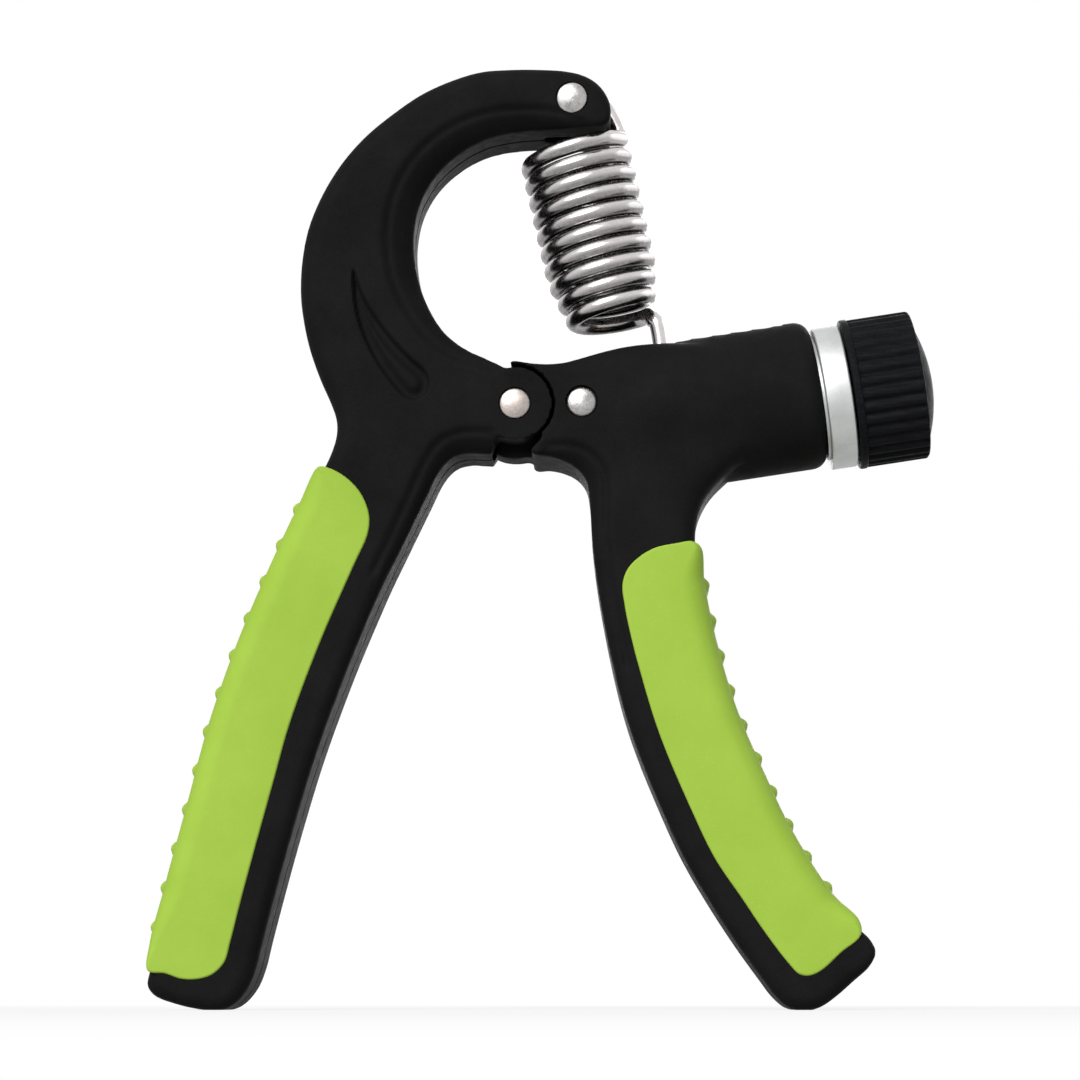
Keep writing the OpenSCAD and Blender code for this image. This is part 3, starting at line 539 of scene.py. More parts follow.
class Look(Nodes):
    """A material kept in LOOKS, round one principled shader with textures in real sizes."""

    def __init__(self, name, roughness, metallic=0.0, specular=0.5):
        LOOKS[name] = bpy.data.materials.new(name)
        LOOKS[name].use_nodes = True
        super().__init__(LOOKS[name].node_tree)
        plain = {"Roughness": roughness, "Metallic": metallic, "Specular IOR Level": specular}
        self.shader = self.add("BsdfPrincipled", plain)
        self.add("OutputMaterial", {"Surface": self.shader.outputs["BSDF"]})
        self.coords = self.add("TexCoord").outputs["Object"]
        self.normal = None

    def noise(self, size, detail=2.0, roughness=0.5, distortion=0.0, coords=None):
        """Noise whose features are about size millimetres apart."""
        node = self.add("TexNoise", {
            "Vector": coords or self.coords, "Scale": 1 / (size * MM),
            "Detail": detail, "Roughness": roughness, "Distortion": distortion,
        })
        return node.outputs["Fac"]

    def streaks(self, size, stretch):
        """Noise drawn out along the knob's axis."""
        turn = (0, asin(ALONG[2]), 0)
        drawn = {"Vector": self.coords, "Rotation": turn, "Scale": (1 / stretch, 1, 1)}
        coords = self.add("Mapping", drawn).outputs["Vector"]
        return self.noise(size, detail=3, coords=coords)

    def weighed(self, first, second, share):
        """Two values added up, the first with its share and the second with the rest."""
        rest = self.maths("MULTIPLY", second, 1 - share)
        return self.maths("ADD", self.maths("MULTIPLY", first, share), rest)

    def colours(self, share, *pair):
        """Mixes two colours, which are triples or other nodes' sockets."""
        first, second = ((*c, 1) if isinstance(c, tuple) else c for c in pair)
        inputs = {"Factor": share, 6: first, 7: second}
        return self.add("Mix", inputs, data_type="RGBA").outputs[2]

    def paint(self, share, first, second):
        self.put(self.colours(share, first, second), self.shader.inputs["Base Color"])

    def roughen(self, noise, low, high):
        self.put(self.spread(noise, 0.3, 0.7, low, high), self.shader.inputs["Roughness"])

    def bump(self, height, depth):
        """Raises the surface by the height times a depth in millimetres."""
        inputs = {"Strength": 1, "Distance": depth * MM, "Height": height}
        if self.normal:
            inputs["Normal"] = self.normal
        self.normal = self.add("Bump", inputs).outputs["Normal"]
        self.put(self.normal, self.shader.inputs["Normal"])


# ---- Materials ----
def moulded_plastic(name, dark, light, roughness, specular, streaked=False):
    """Black plastic with a fine spark grain, faint flow marks and scuffed tones."""
    look = Look(name, roughness, specular=specular)
    grain = look.noise(0.28, detail=3)
    flow = look.streaks(0.5, 8) if streaked else look.noise(9, detail=3, roughness=0.6)
    look.paint(look.spread(look.weighed(grain, flow, 0.45), 0.35, 0.65), dark, light)
    look.roughen(look.noise(1.6, detail=4), roughness - 0.06, roughness + 0.08)
    look.bump(grain, 0.02)


def soft_rubber(name):
    """Lime green rubber with a fine matte grain and slightly uneven tone."""
    look = Look(name, 0.62, specular=0.12)
    tone = look.noise(12, detail=4, roughness=0.6)
    grain = look.noise(0.35, detail=3)
    base = look.colours(look.spread(tone, 0.3, 0.7), (0.362, 0.566, 0.062), (0.402, 0.612, 0.075))
    look.paint(look.spread(grain, 0.62, 0.8), base, (0.43, 0.63, 0.13))
    look.roughen(look.noise(1.2, detail=3), 0.55, 0.7)
    look.bump(grain, 0.022)
    look.bump(look.noise(3.5, detail=2), 0.02)


def plated_steel(name, pale, dull, roughness, mottle, dents):
    """Plated steel with mottled tones and small dents."""
    look = Look(name, roughness, metallic=1)
    patches = look.noise(mottle, detail=5, roughness=0.65)
    fine = look.noise(mottle / 6, detail=4, roughness=0.7)
    look.paint(look.spread(look.weighed(patches, fine, 0.6), 0.38, 0.62), dull, pale)
    look.roughen(fine, roughness - 0.08, roughness + 0.12)
    look.bump(patches, dents)
    look.bump(fine, dents / 4)


def satin_metal(name):
    """Satin grey metallic finish with a fine speckle."""
    look = Look(name, 0.42, metallic=0.75)
    speckle = look.noise(0.22, detail=4, roughness=0.7)
    cloud = look.noise(4, detail=3)
    base = look.colours(look.spread(cloud, 0.3, 0.7), (0.5, 0.51, 0.505), (0.6, 0.61, 0.605))
    look.paint(look.spread(speckle, 0.55, 0.75), base, (0.72, 0.73, 0.73))
    look.roughen(speckle, 0.36, 0.52)
    look.bump(speckle, 0.03)


def turned_metal(name, pale, dull, roughness):
    """Machined metal with fine turning marks."""
    look = Look(name, roughness, metallic=1)
    marks = look.noise(0.18, detail=2)
    stains = look.noise(2.5, detail=4, roughness=0.6)
    look.paint(look.spread(stains, 0.35, 0.65), dull, pale)
    look.roughen(marks, roughness - 0.05, roughness + 0.1)
    look.bump(marks, 0.01)


def nylon(name):
    look = Look(name, 0.4, specular=0.4)
    cloud = look.noise(1.5, detail=3)
    look.paint(cloud, (0.7, 0.67, 0.58), (0.8, 0.78, 0.7))
    look.roughen(cloud, 0.36, 0.46)


def bright_chrome(name):
    """Polished plated wire: a warm pale tint, drawing ripples and small stains, darkened by
    painted shade from the wire's mesh.
    """
    look = Look(name, 0.2, metallic=1)
    ripple = look.noise(1.6, detail=2, roughness=0.4, distortion=0.3)
    stain = look.noise(0.7, detail=4, roughness=0.65)
    tint = look.colours(look.spread(stain, 0.35, 0.7), (0.66, 0.62, 0.62), (0.8, 0.76, 0.76))
    # Painted shade between and under the coils and a painted dark reflection on the hook, read
    # from the mesh
    painted_shade = look.add("Attribute", attribute_name="painted_shade").outputs["Fac"]
    uneven = look.maths("MULTIPLY", painted_shade, look.spread(stain, 0.25, 0.75, 0.72, 1.2))
    look.paint(look.spread(uneven, 0, 1), tint, (0.07, 0.066, 0.07))
    look.roughen(stain, 0.15, 0.3)
    look.bump(ripple, 0.02)


moulded_plastic("black_plastic", (0.0092, 0.0092, 0.0094), (0.0142, 0.0142, 0.0144), 0.55, 0.015)
moulded_plastic(
    "knob_plastic", (0.0062, 0.0065, 0.0074), (0.0148, 0.0152, 0.0168), 0.45, 0.02, streaked=True
)
moulded_plastic("cap_plastic", (0.0085, 0.0087, 0.0098), (0.0135, 0.0138, 0.0155), 0.5, 0.015)
soft_rubber("green_rubber")
plated_steel("rivet_steel", (0.5, 0.485, 0.48), (0.27, 0.26, 0.255), 0.3, 1.3, 0.04)
plated_steel("rivet_satin", (0.5, 0.45, 0.42), (0.34, 0.3, 0.28), 0.42, 1.6, 0.04)
plated_steel("washer_steel", (0.62, 0.61, 0.6), (0.42, 0.41, 0.4), 0.4, 2, 0.02)
turned_metal("screw_steel", (0.66, 0.66, 0.67), (0.45, 0.45, 0.46), 0.28)
turned_metal("bush_brass", (0.72, 0.56, 0.27), (0.55, 0.4, 0.17), 0.3)
turned_metal("nut_brass", (0.7, 0.55, 0.28), (0.5, 0.37, 0.17), 0.32)
satin_metal("ring_metal")
nylon("washer_nylon")
bright_chrome("spring_chrome")


# ---- Levers ----
UNDER_FLOOR = (-200, -50, -20), (200, 50, 0)
VOXEL = 0.52
# A push a little over the pull of each round, so that the lever keeps its volume
SOFTEN_ROUNDS = 3
SOFTEN_PUSH = 0.52
# Faces whose normals point this much to the front or back count as flat
FLAT_LEAST = 0.6
HEAD_SINK = 0.55
DEEP_SINK = 0.95
TIP_SINK = 0.35
FORK_HALF = 1.75
FORK_BACK = 4.75
FORK_REACH = 30
FORK_UP = 20
PARTING_HALF = 0.4
PARTING_DEPTH = 0.45
# The crease where a lever's face meets its bevel. The mesh is made finer near it
CREASE_AT = 0.98
CREASE_DEPTH = 0.62
CREASE_REACH = 0.72
CREASE_FADE = 3
CREASE_FINE = 1.6
# The drop on the arm: a moat round a low domed floor
MOAT_AT = 0.6
MOAT_DEPTH = 1.35
MOAT_END = 1
DOME_AT = 2.6
DOME_DEPTH = 0.5


def soften(lever):
    """Cuts the lever off at the floor and turns it into even small quads with soft edges."""
    cut(lever, box(*UNDER_FLOOR))
    modifier = lever.modifiers.new("remesh", "REMESH")
    modifier.mode = "VOXEL"
    modifier.voxel_size = VOXEL
    bake(lever)
    relax(lever, SOFTEN_ROUNDS, push=SOFTEN_PUSH)


def refine(lever, chosen):
    """Splits the front and back quads that are chosen by their middles."""
    faces = lever.data.polygons
    flat = np.abs(vectors(faces, "normal")[:, 1]) > FLAT_LEAST
    wanted = np.flatnonzero(flat & chosen(vectors(faces, "center")))
    bm = bmesh.new()
    bm.from_mesh(lever.data)
    bm.faces.ensure_lookup_table()
    edges = list({e for i in wanted for e in bm.faces[i].edges})
    bmesh.ops.subdivide_edges(bm, edges=edges, cuts=1, use_grid_fill=True)
    bm.to_mesh(lever.data)
    bm.free()


def within(points, low, high):
    """Which points lie between two corners, seen from the front."""
    flat = points[:, [0, 2]]
    return (flat > low).all(1) & (flat < high).all(1)


def path_distance(points, path):
    """Distance of points from an open line."""
    near = np.full(len(points), 1e9)
    for a, b in zip(path[:-1], path[1:]):
        d = b - a
        t = np.clip(((points - a) @ d) / (d @ d), 0, 1)
        near = np.minimum(near, norm(points - a - t[:, None] * d, axis=1))
    return near


def rim_distance(points, outline):
    """How far each point lies inside a closed outline, below zero outside it."""
    a, b = outline, np.roll(outline, -1, 0)
    px, pz = points[:, None, 0], points[:, None, 1]
    crosses = (a[:, 1] > pz) != (b[:, 1] > pz)
    rise = np.where(b[:, 1] == a[:, 1], 1e-9, b[:, 1] - a[:, 1])
    at_x = a[:, 0] + (pz - a[:, 1]) / rise * (b[:, 0] - a[:, 0])
    inside = (crosses & (px < at_x)).sum(1) % 2 == 1
    return path_distance(points, np.append(a, a[:1], 0)) * np.where(inside, 1, -1)


def press_drop(lever):
    """Presses the drop into the arm's front face."""
    outline = closed_curve(placed(DROP_OUTLINE), DROP_STEPS)
    low, high = outline.min(0) - 1, outline.max(0) + 1
    refine(lever, lambda middles: (middles[:, 1] < 0) & within(middles, low, high))
    co = corners(lever)
    ids = np.flatnonzero((co[:, 1] < 0.3 - HALF_T) & within(co, low, high))
    d = rim_distance(co[ids][:, [0, 2]], outline)
    wall = MOAT_DEPTH * ease((d + 0.1) / (MOAT_AT + 0.1))
    rise = (MOAT_DEPTH - DOME_DEPTH) * ease((d - MOAT_END) / (DOME_AT - MOAT_END))
    co[ids, 1] += wall - rise
    set_corners(lever, co)


def crease_line(outline, start, crease, spare=0):
    """Where a face meets its stepped bevel, longer by the spare points at each end."""
    run = slice((start + crease[0] - spare) * STEPS, (start + crease[1] + spare) * STEPS + 1)
    return outline[run, :2] + inward(outline)[run] * (outline[run, 2] * CREASE_AT)[:, None]


def engrave(lever, line):
    """Presses a soft line into the front and back faces."""
    def close(points):
        inside = within(points, line.min(0) - 2, line.max(0) + 2)
        ids = np.flatnonzero(inside & (np.abs(points[:, 1]) > 6))
        near = np.full(len(points), 1e9)
        near[ids] = path_distance(points[ids][:, [0, 2]].astype(float), line)
        return near

    refine(lever, lambda middles: close(middles) < CREASE_FINE)
    co = corners(lever)
    near = close(co)
    from_end = np.minimum(*(norm(co[:, [0, 2]] - end, axis=1) for end in line[[0, -1]]))
    press = CREASE_DEPTH * np.exp(-((near / CREASE_REACH) ** 2)) * ease(from_end / CREASE_FADE)
    co[:, 1] -= np.sign(co[:, 1]) * press
    set_corners(lever, co)


def groove_side(lever, outline):
    """Cuts the mould's parting groove round the lever's sides, in the middle plane."""
    steps_in = inward(outline)
    tool = prism("groove", outline[:, :2] - steps_in * 1.5, PARTING_HALF)
    cut(tool, prism("core", outline[:, :2] + steps_in * PARTING_DEPTH, PARTING_HALF * 3))
    cut(lever, tool)


def rivet_hole(lever, at, shank, sink):
    """A through hole, with a sunk seat for the head and one for the washer at the back."""
    cut(lever, cross_rod(at, shank, -LEVER_T, LEVER_T, SEGMENTS // 2))
    cut(lever, cross_rod(at, HEAD_R + BORE_PLAY, -LEVER_T, sink - HALF_T))
    cut(lever, cross_rod(at, WASHER_R + BORE_PLAY, HALF_T - BACK_SINK, LEVER_T))


def build_left_lever():
    """Arm, pivot cheeks and handle, with a slot for the right lever's tongue."""
    upto_foot = ARM_INNER + ARM_OUTER + LEFT_OUTER + LEFT_FOOT
    outline = closed_curve(placed(
        creased(ARM_INNER, *ARM_CREASE) + creased(ARM_OUTER + LEFT_OUTER + LEFT_FOOT)
        + creased(LEFT_INNER, *LEFT_CREASE) + creased(LEFT_HUB, 0, 0)
    ))
    lever = rounded_slab("left_lever_body", outline, HALF_T)
    cut(lever, sector(NOTCH_ANGLE, SEAT_TOP_ANGLE))
    fuse(lever, cross_rod(PIVOT, CHEEK_R, -HALF_T, HALF_T, FINE))
    slot = cross_rod(PIVOT, SLOT_R, -SLOT_HALF, SLOT_HALF, FINE)
    cut(slot, sector(*SLOT_SPARED))
    fuse(slot, cross_rod(PIVOT, CHEEK_R + 0.2, -SLOT_HALF, SLOT_HALF, FINE))
    cut(lever, slot)
    fork = SPRING_PIN + [-FORK_BACK, 0, 0]
    cut(lever, box(fork + [0, -FORK_HALF, -FORK_UP], fork + [FORK_REACH, FORK_HALF, FORK_UP]))
    soften(lever)
    engrave(lever, crease_line(outline, 0, ARM_CREASE))
    engrave(lever, crease_line(outline, len(upto_foot), LEFT_CREASE, spare=1))
    press_drop(lever)
    groove_side(lever, closed_curve(placed(upto_foot + LEFT_INNER + LEFT_HUB), STEPS // 2))
    rivet_hole(lever, PIVOT, PIVOT_PIN_R, HEAD_SINK)
    rivet_hole(lever, SPRING_PIN, SMALL_PIN_R, HEAD_SINK)
    finish_piece(lever, "left_lever", "black_plastic", "left_lever")


BARREL_ROUND = 2.6
JUNCTION_ROUNDS = 40
# Radius and place along the barrel, from where it swells out of the lever
BARREL_PROFILE = (
    [(0, 6.5), (5, 7), (7.6, 9.4), (9.6, 12.6), (11.2, 17.5), (12.2, 23.5), (BARREL_R, 31)]
    + arc((BARREL_R - BARREL_ROUND, BARREL_END - BARREL_ROUND), BARREL_ROUND, 0, 90)
    + [(0, BARREL_END)]
)


def near_junction(co):
    """1 on the faces where the barrel swells out of the lever, 0 elsewhere."""
    rel = co - PIVOT
    s = rel @ ALONG
    d = rel @ UPWARD + AXIS_DROP
    along = ease((s - 10) / 6) * ease((BARREL_END - 4 - s) / 6)
    across = ease((20 - np.abs(d)) / 5)
    outer = ease((np.abs(co[:, 1]) - 6) / 2)
    return along * across * outer


def build_right_lever():
    """Handle, pivot tongue and the hollow barrel with its slot."""
    outline = closed_curve(placed(
        creased(RIGHT_HUB) + creased(RIGHT_INNER, *RIGHT_CREASE)
        + creased(RIGHT_FOOT + RIGHT_OUTER + BARREL_UNDER + BARREL_OVER)
    ))
    lever = rounded_slab("right_lever_body", outline, HALF_T)
    fuse(lever, lathe("barrel", BARREL_PROFILE, barrel_point(0, BARREL_LIFT), ALONG, 144))
    for ends in ((-LEVER_T, -TONGUE_HALF), (TONGUE_HALF, LEVER_T)):
        cut(lever, cross_rod(PIVOT, SEAT_R, *ends, FINE))
    fuse(lever, cross_rod(PIVOT, CHEEK_R - 0.1, -TONGUE_HALF, TONGUE_HALF))
    lobe = sector(NOTCH_ANGLE + LOBE_PLAY, LOBE_TOP_ANGLE)
    combine(lobe, cross_rod(PIVOT, TONGUE_R, -TONGUE_HALF, TONGUE_HALF, FINE), "INTERSECT")
    fuse(lever, lobe)
    cut(lever, axis_rod(SCREW_BORE_FROM, CHAMBER_FROM + 1, SCREW_BORE_R))
    cut(lever, axis_rod(CHAMBER_FROM, BARREL_END + 1, CHAMBER_R))
    slot_ends = HOOK_S - EAR_R - EAR_SLOT_SPARE, HOOK_S + NUT_TRAVEL + EAR_R + EAR_SLOT_SPARE
    cut(lever, axis_block(*slot_ends, EAR_SLOT_FLOOR, EAR_SLOT_TOP, EAR_SLOT_HALF))
    soften(lever)
    relax(lever, JUNCTION_ROUNDS, near_junction)
    engrave(lever, crease_line(outline, len(RIGHT_HUB), RIGHT_CREASE, spare=1))
    cut(lever, cross_rod(PIVOT, BUSH_R, -HALF_T, HALF_T))
    rivet_hole(lever, RETAINING_AT, SMALL_PIN_R, DEEP_SINK)
    finish_piece(lever, "right_lever", "black_plastic", "right_lever")


# ---- Grips ----
GRIP_STEPS = 26
GRIP_RINGS = 35
GRIP_FLAT = HALF_T + GRIP_FACE_PROUD - GRIP_ROUND
GRIP_EDGE_LEAST = 0.3
# Below 1, so that the nubs have steeper sides than a cosine
NUB_POWER = 0.9


def proud(points):
    """The lever's outer side, moved out, with the grip's own edge radius."""
    p = np.array(points, float)
    d = np.concatenate([p[1:2] - p[:1], p[2:] - p[:-2], p[-1:] - p[-2:-1]])[:, :2]
    d /= norm(d, axis=1)[:, None]
    out = p[:, :2] + np.stack([d[:, 1], -d[:, 0]], 1) * GRIP_PROUD
    radius = np.full(len(p), GRIP_ROUND, float)
    radius[[0, -1]] = GRIP_END_ROUND
    return [(x, z, r) for (x, z), r in zip(out, radius)]


def nub_heights(outline, side_count, count, ends, y):
    """Height of the nubs at each point of the outline, on the line at y across the grip."""
    steps = norm(np.diff(outline[:, :2], axis=0), axis=1)
    along = np.concatenate([[0], np.cumsum(steps)])
    run = along[side_count]
    height = np.zeros(len(outline))
    for at in np.linspace(ends[0], run - ends[1], count):
        for row in NUB_ROWS:
            reach = np.minimum(np.hypot(along - at, y - row) / NUB_REACH, 1)
            height += NUB_H * np.maximum(np.cos(reach * pi / 2), 0) ** NUB_POWER
    height[side_count:] = 0
    return height


def build_grip(name, outer, edge, nubs, ends):
    """A rubber cover over the handle's outer side, with nubs from end to end."""
    outline = closed_curve(placed(proud(outer) + edge), GRIP_STEPS)
    outline[:, 2] = np.clip(outline[:, 2], GRIP_EDGE_LEAST, GRIP_ROUND)
    steps_in = inward(outline)
    middle = []
    for y in np.linspace(-GRIP_FLAT, GRIP_FLAT, GRIP_RINGS):
        height = nub_heights(outline, (len(outer) - 1) * GRIP_STEPS, nubs, ends, y)
        xz = outline[:, :2] - steps_in * height[:, None]
        middle.append(np.insert(xz, 1, y, 1))
    grip = rounded_slab(name + "_cover", outline, HALF_T + GRIP_FACE_PROUD, middle)
    finish_piece(grip, name.replace("grip", "lever"), "green_rubber", name, sharp=60)


# ---- Rivets ----
RIM_H = 0.3
# The head's edge: how far in from its radius, and how high over the seat's face
HEAD_EDGE = [(0.08, 0.22), (0.01, 0.06), (0, -0.35)]
DOME_IN = 0.22
TAIL_OUT = 0.7


def dome_points(radius, height, count=12):
    """Radius and height along a dome, from its top to its edge."""
    ball_r = (radius * radius + height * height) / (2 * height)
    reach = np.linspace(0, radius, count)
    return [(r, sqrt(ball_r * ball_r - r * r) - ball_r + height) for r in reach]


def build_rivet(name, at, shank, sink, body, look="rivet_steel"):
    """A domed head at the front, and a smaller formed end at the back."""
    front = HALF_T - sink
    back = HALF_T - BACK_SINK + WASHER_T
    head = [(r, front + RIM_H + h) for r, h in dome_points(HEAD_R - DOME_IN, HEAD_H - RIM_H)]
    head += [(HEAD_R - inset, front + height) for inset, height in HEAD_EDGE]
    tail = [(r, -back - h) for r, h in dome_points(shank + TAIL_OUT, HEAD_H)][::-1]
    profile = head + [(shank, head[-1][1]), (shank, -back)] + tail
    rivet = lathe(name + "_shape", profile, at, -BACK)
    finish_piece(rivet, body, "rivet_steel", name, look=look, sharp=50)


# ---- Ring, knob and cap ----
RING_R = 12.3
RING_FROM = 52
RING_TO = 56.5
RING_ROUND = 0.4
SPIGOT_R = CHAMBER_R - 0.05
NECK_R = 10.5
KNOB_FROM = 56.85
KNOB_L = 12.4
KNOB_END = KNOB_L - 0.4
RIM_R = 12.9
RIM_W = 1.3
RIM_ROUND = 0.35
RIM_ROUND_IN = 0.3
RIB_R = 12.75
RIB_D = 0.55
RIBS = 34
PER_RIB = 16
SHOULDER_R = 0.65
# The grooves between the ribs run out towards the cap
RIB_FADE = 0.7
RIB_FADE_FROM = KNOB_L - 1.1
DOME_R = 10.2
CAP_H = 1.93
CAP_SEAT = 0.18
WELL_R = 4
WELL_PLAY = 0.05
KNOB_SCREW_SEAT = 8.8
# Half profile of the hole through the knob, from the screw's seat to the face at the ring
KNOB_BORE = [(1.6, KNOB_SCREW_SEAT), (1.6, 8.4), (2.85, 8.4), (2.85, 0.9), (6, 0.9)]


def build_ring():
    """The ring, with its neck and the spigot inside the barrel."""
    profile = (
        [(SCREW_BORE_R, SPIGOT_FROM), (SPIGOT_R, SPIGOT_FROM), (SPIGOT_R, BARREL_END)]
        + [(NECK_R, BARREL_END), (NECK_R, RING_FROM)]
        + arc((RING_R - RING_ROUND, RING_FROM + RING_ROUND), RING_ROUND, -90, 0)
        + arc((RING_R - RING_ROUND, RING_TO - RING_ROUND), RING_ROUND, 0, 90)
        + [(SCREW_BORE_R, RING_TO)]
    )
    ring = lathe("end_ring_shape", profile, barrel_point(0, 0), ALONG, 160)
    finish_piece(ring, "right_lever", "ring_metal", "end_ring")


def build_knob():
    """The knob: ribs, a smooth rim, a sloping end and a seat for the cap."""
    rim = (
        [(KNOB_BORE[-1][0], 0.0)]
        + arc((RIM_R - RIM_ROUND, RIM_ROUND), RIM_ROUND, -90, 0, 5)
        + arc((RIM_R - RIM_ROUND_IN, RIM_W - RIM_ROUND_IN), RIM_ROUND_IN, 0, 90, 5)
    )
    wall = [(RIB_R, height) for height in (RIM_W + 0.02, 3.5, 6.5, KNOB_L - 2.2)]
    shoulder = arc((RIB_R - SHOULDER_R, KNOB_END - SHOULDER_R), SHOULDER_R, 0, 66, 7)
    end = [(DOME_R + 0.3, KNOB_L - 0.22), (DOME_R + 0.05, KNOB_L - 0.2), (DOME_R - 0.3, KNOB_END)]
    well = [(WELL_R, KNOB_END), (WELL_R, KNOB_SCREW_SEAT)]
    profile = rim + wall + shoulder + end + well + KNOB_BORE
    segments = RIBS * PER_RIB
    middle = barrel_point(KNOB_FROM, 0)
    knob = lathe("knob_shape", profile, middle, ALONG, segments)
    co = corners(knob)
    groove = RIB_D * np.sin(np.arange(segments) % PER_RIB / PER_RIB * pi) ** 3
    for k in range(len(rim), len(rim + wall + shoulder)):
        ring = slice(k * segments, (k + 1) * segments)
        height = profile[k][1]
        out = co[ring] - (middle + ALONG * height)
        reach = norm(out, axis=1)[:, None]
        fade = 1 - ease((height - RIB_FADE_FROM) / RIB_FADE)
        co[ring] -= out / reach * (groove * fade)[:, None]
    set_corners(knob, co)
    finish_piece(knob, "knob", "knob_plastic", "knob", sharp=35)


def build_cap():
    """The domed cap, with a plug for the knob's well."""
    plug_r, plug_end, seat = WELL_R - WELL_PLAY, KNOB_L - 1.2, KNOB_L - 0.38
    dome = [(r, KNOB_L - CAP_SEAT + h) for r, h in dome_points(DOME_R, CAP_H + CAP_SEAT, 24)]
    profile = dome + [
        (DOME_R - 0.05, KNOB_L - 0.3), (DOME_R - 0.4, seat), (plug_r, seat), (plug_r, plug_end),
        (0, plug_end),
    ]
    cap = lathe("knob_cap_shape", profile, barrel_point(KNOB_FROM, 0), ALONG, 128)
    finish_piece(cap, "knob", "cap_plastic", "knob_cap", sharp=50)


# ---- Spring ----
WIRE_R = 1.43
WIRE_SIDES = 14
WIRE_STEP = 0.55
# Rings of the wire over which each end is rounded off
END_RINGS = 3
COIL_TOP = SPRING_PIN + [0.3, 0, -6.95]
COIL_TILT = radians(12.5)
COIL_AXIS = np.array([-sin(COIL_TILT), 0, cos(COIL_TILT)])
COIL_SIDE = np.array([cos(COIL_TILT), 0, sin(COIL_TILT)])
COIL_PITCH = 3.08
COILS = 10
COIL_R = 8.5
COIL_END_R = 6.4
TAPER_COILS = 3
TAPER_POWER = 1.1
POINTS_A_COIL = 30
BEND_R = 2.3
UPPER_HOOK_R = SMALL_PIN_R + WIRE_R + 0.1
LOWER_HOOK_R = HOOK_PIN_R + WIRE_R + 0.1
UPPER_LEAD = [[6.9, 0, -1.2], [5.5, 0, 0.8], [3.5, 0, 2.3]]
LOWER_LEAD = [[3.15, 0, 5.4], [LOWER_HOOK_R + 0.05, 0, 2.6]]
# The lower bend moves sideways, by a growing share of the flare
LOWER_FLARE = 1.3
FLARE_SHARES = (0.05, 0.2, 0.5, 0.8, 1)
# Distances down the spring where its coils begin and end, for the painted shade between them
COILS_FROM = 6
COILS_TO = 40.5
# Where the painted dark reflection on the lower hook begins, and the least darkening of the whole
# wire
HOOK_FROM = 38
WIRE_LEAST_DARKENING = 0.14
# Distances down the spring, and the share of the stretch that the wire there moves by
STRETCH_PLACES = [1.5, 6.5, 38.5, 43.2]
STRETCH_SHARES = [0, 0.15, 0.755, 1]


def coil_points():
    """Points along the coils, which taper towards the lower end."""
    first = asin(BEND_R / COIL_R) / (2 * pi)
    last = COILS - asin(BEND_R / COIL_END_R) / (2 * pi)
    t = np.linspace(first, last, COILS * POINTS_A_COIL)[:, None]
    taper = np.clip((t - COILS + TAPER_COILS) / TAPER_COILS, 0, 1) ** TAPER_POWER
    radius = COIL_R - (COIL_R - COIL_END_R) * taper
    turn = 2 * pi * t
    return (
        COIL_TOP - COIL_AXIS * COIL_PITCH * t
        + radius * (COIL_SIDE * np.cos(turn) - BACK * np.sin(turn))
    )


def bend_from(at, heading, turn_to):
    """A quarter bend from a heading to another one square to it."""
    return [
        at + BEND_R * (heading * sin(a) + turn_to * (1 - cos(a)))
        for a in np.radians([18, 36, 54, 72, 90])
    ]


def loop_round(at, radius, degrees):
    return [at + radius * np.array([cos(a), 0, sin(a)]) for a in np.radians(degrees)]


def smooth_path(points, spacing):
    """An open smooth curve through the points, in even steps."""
    p = np.array(points)
    ends = np.concatenate([[2 * p[0] - p[1]], p, [2 * p[-1] - p[-2]]])
    fine = [
        0.5 * (2 * b + (c - a) * u + (2 * a - 5 * b + 4 * c - d) * u * u
               + (3 * b - a - 3 * c + d) * u ** 3)
        for a, b, c, d in zip(ends, ends[1:], ends[2:], ends[3:])
        for u in np.arange(8) / 8
    ]
    fine = np.array(fine + [p[-1]])
    sums = np.concatenate([[0], np.cumsum(norm(np.diff(fine, axis=0), axis=1))])
    along = np.linspace(0, sums[-1], int(sums[-1] / spacing) + 1)
    return np.stack([np.interp(along, sums, fine[:, k]) for k in range(3)], 1)


def spring_path():
    """The middle of the wire, from the upper hook's end to the lower hook's end."""
    coil = coil_points()
    upper = bend_from(coil[0], BACK, COIL_AXIS) + [SPRING_PIN + p for p in UPPER_LEAD]
    upper += loop_round(SPRING_PIN, UPPER_HOOK_R, range(75, 216, 20))
    bend = bend_from(coil[-1], -BACK, -COIL_AXIS)
    lower = [p + COIL_SIDE * LOWER_FLARE * share for p, share in zip(bend, FLARE_SHARES)]
    lower += [HOOK_AT + p for p in LOWER_LEAD]
    lower += loop_round(HOOK_AT, LOWER_HOOK_R, range(0, -201, -20))
    return smooth_path(upper[::-1] + list(coil[::3]) + lower, WIRE_STEP)


def wire_painted_shade(down, out):
    """Painted shade between the coils and on their undersides, a painted dark reflection on the
    lower hook's left side, and the least darkening over the whole wire.
    """
    facing = out @ COIL_AXIS
    wound = ease((down - COILS_FROM) / 2) * ease((COILS_TO - down) / 1.5)
    # Painted shade where each turn faces its neighbours
    seam_shade = ease((np.abs(facing) - 0.72) / 0.24)
    # Painted shade on the undersides of the turns
    underside_shade = 0.7 * ease((0.25 - facing) / 0.6)
    # Painted dark reflection on the lower hook's left side
    shaded = 0.8 * ease((down - HOOK_FROM) / 3) * ease((-0.1 - out[:, 0]) / 0.5)
    return np.maximum(wound * np.maximum(seam_shade, underside_shade), np.maximum(shaded, WIRE_LEAST_DARKENING))


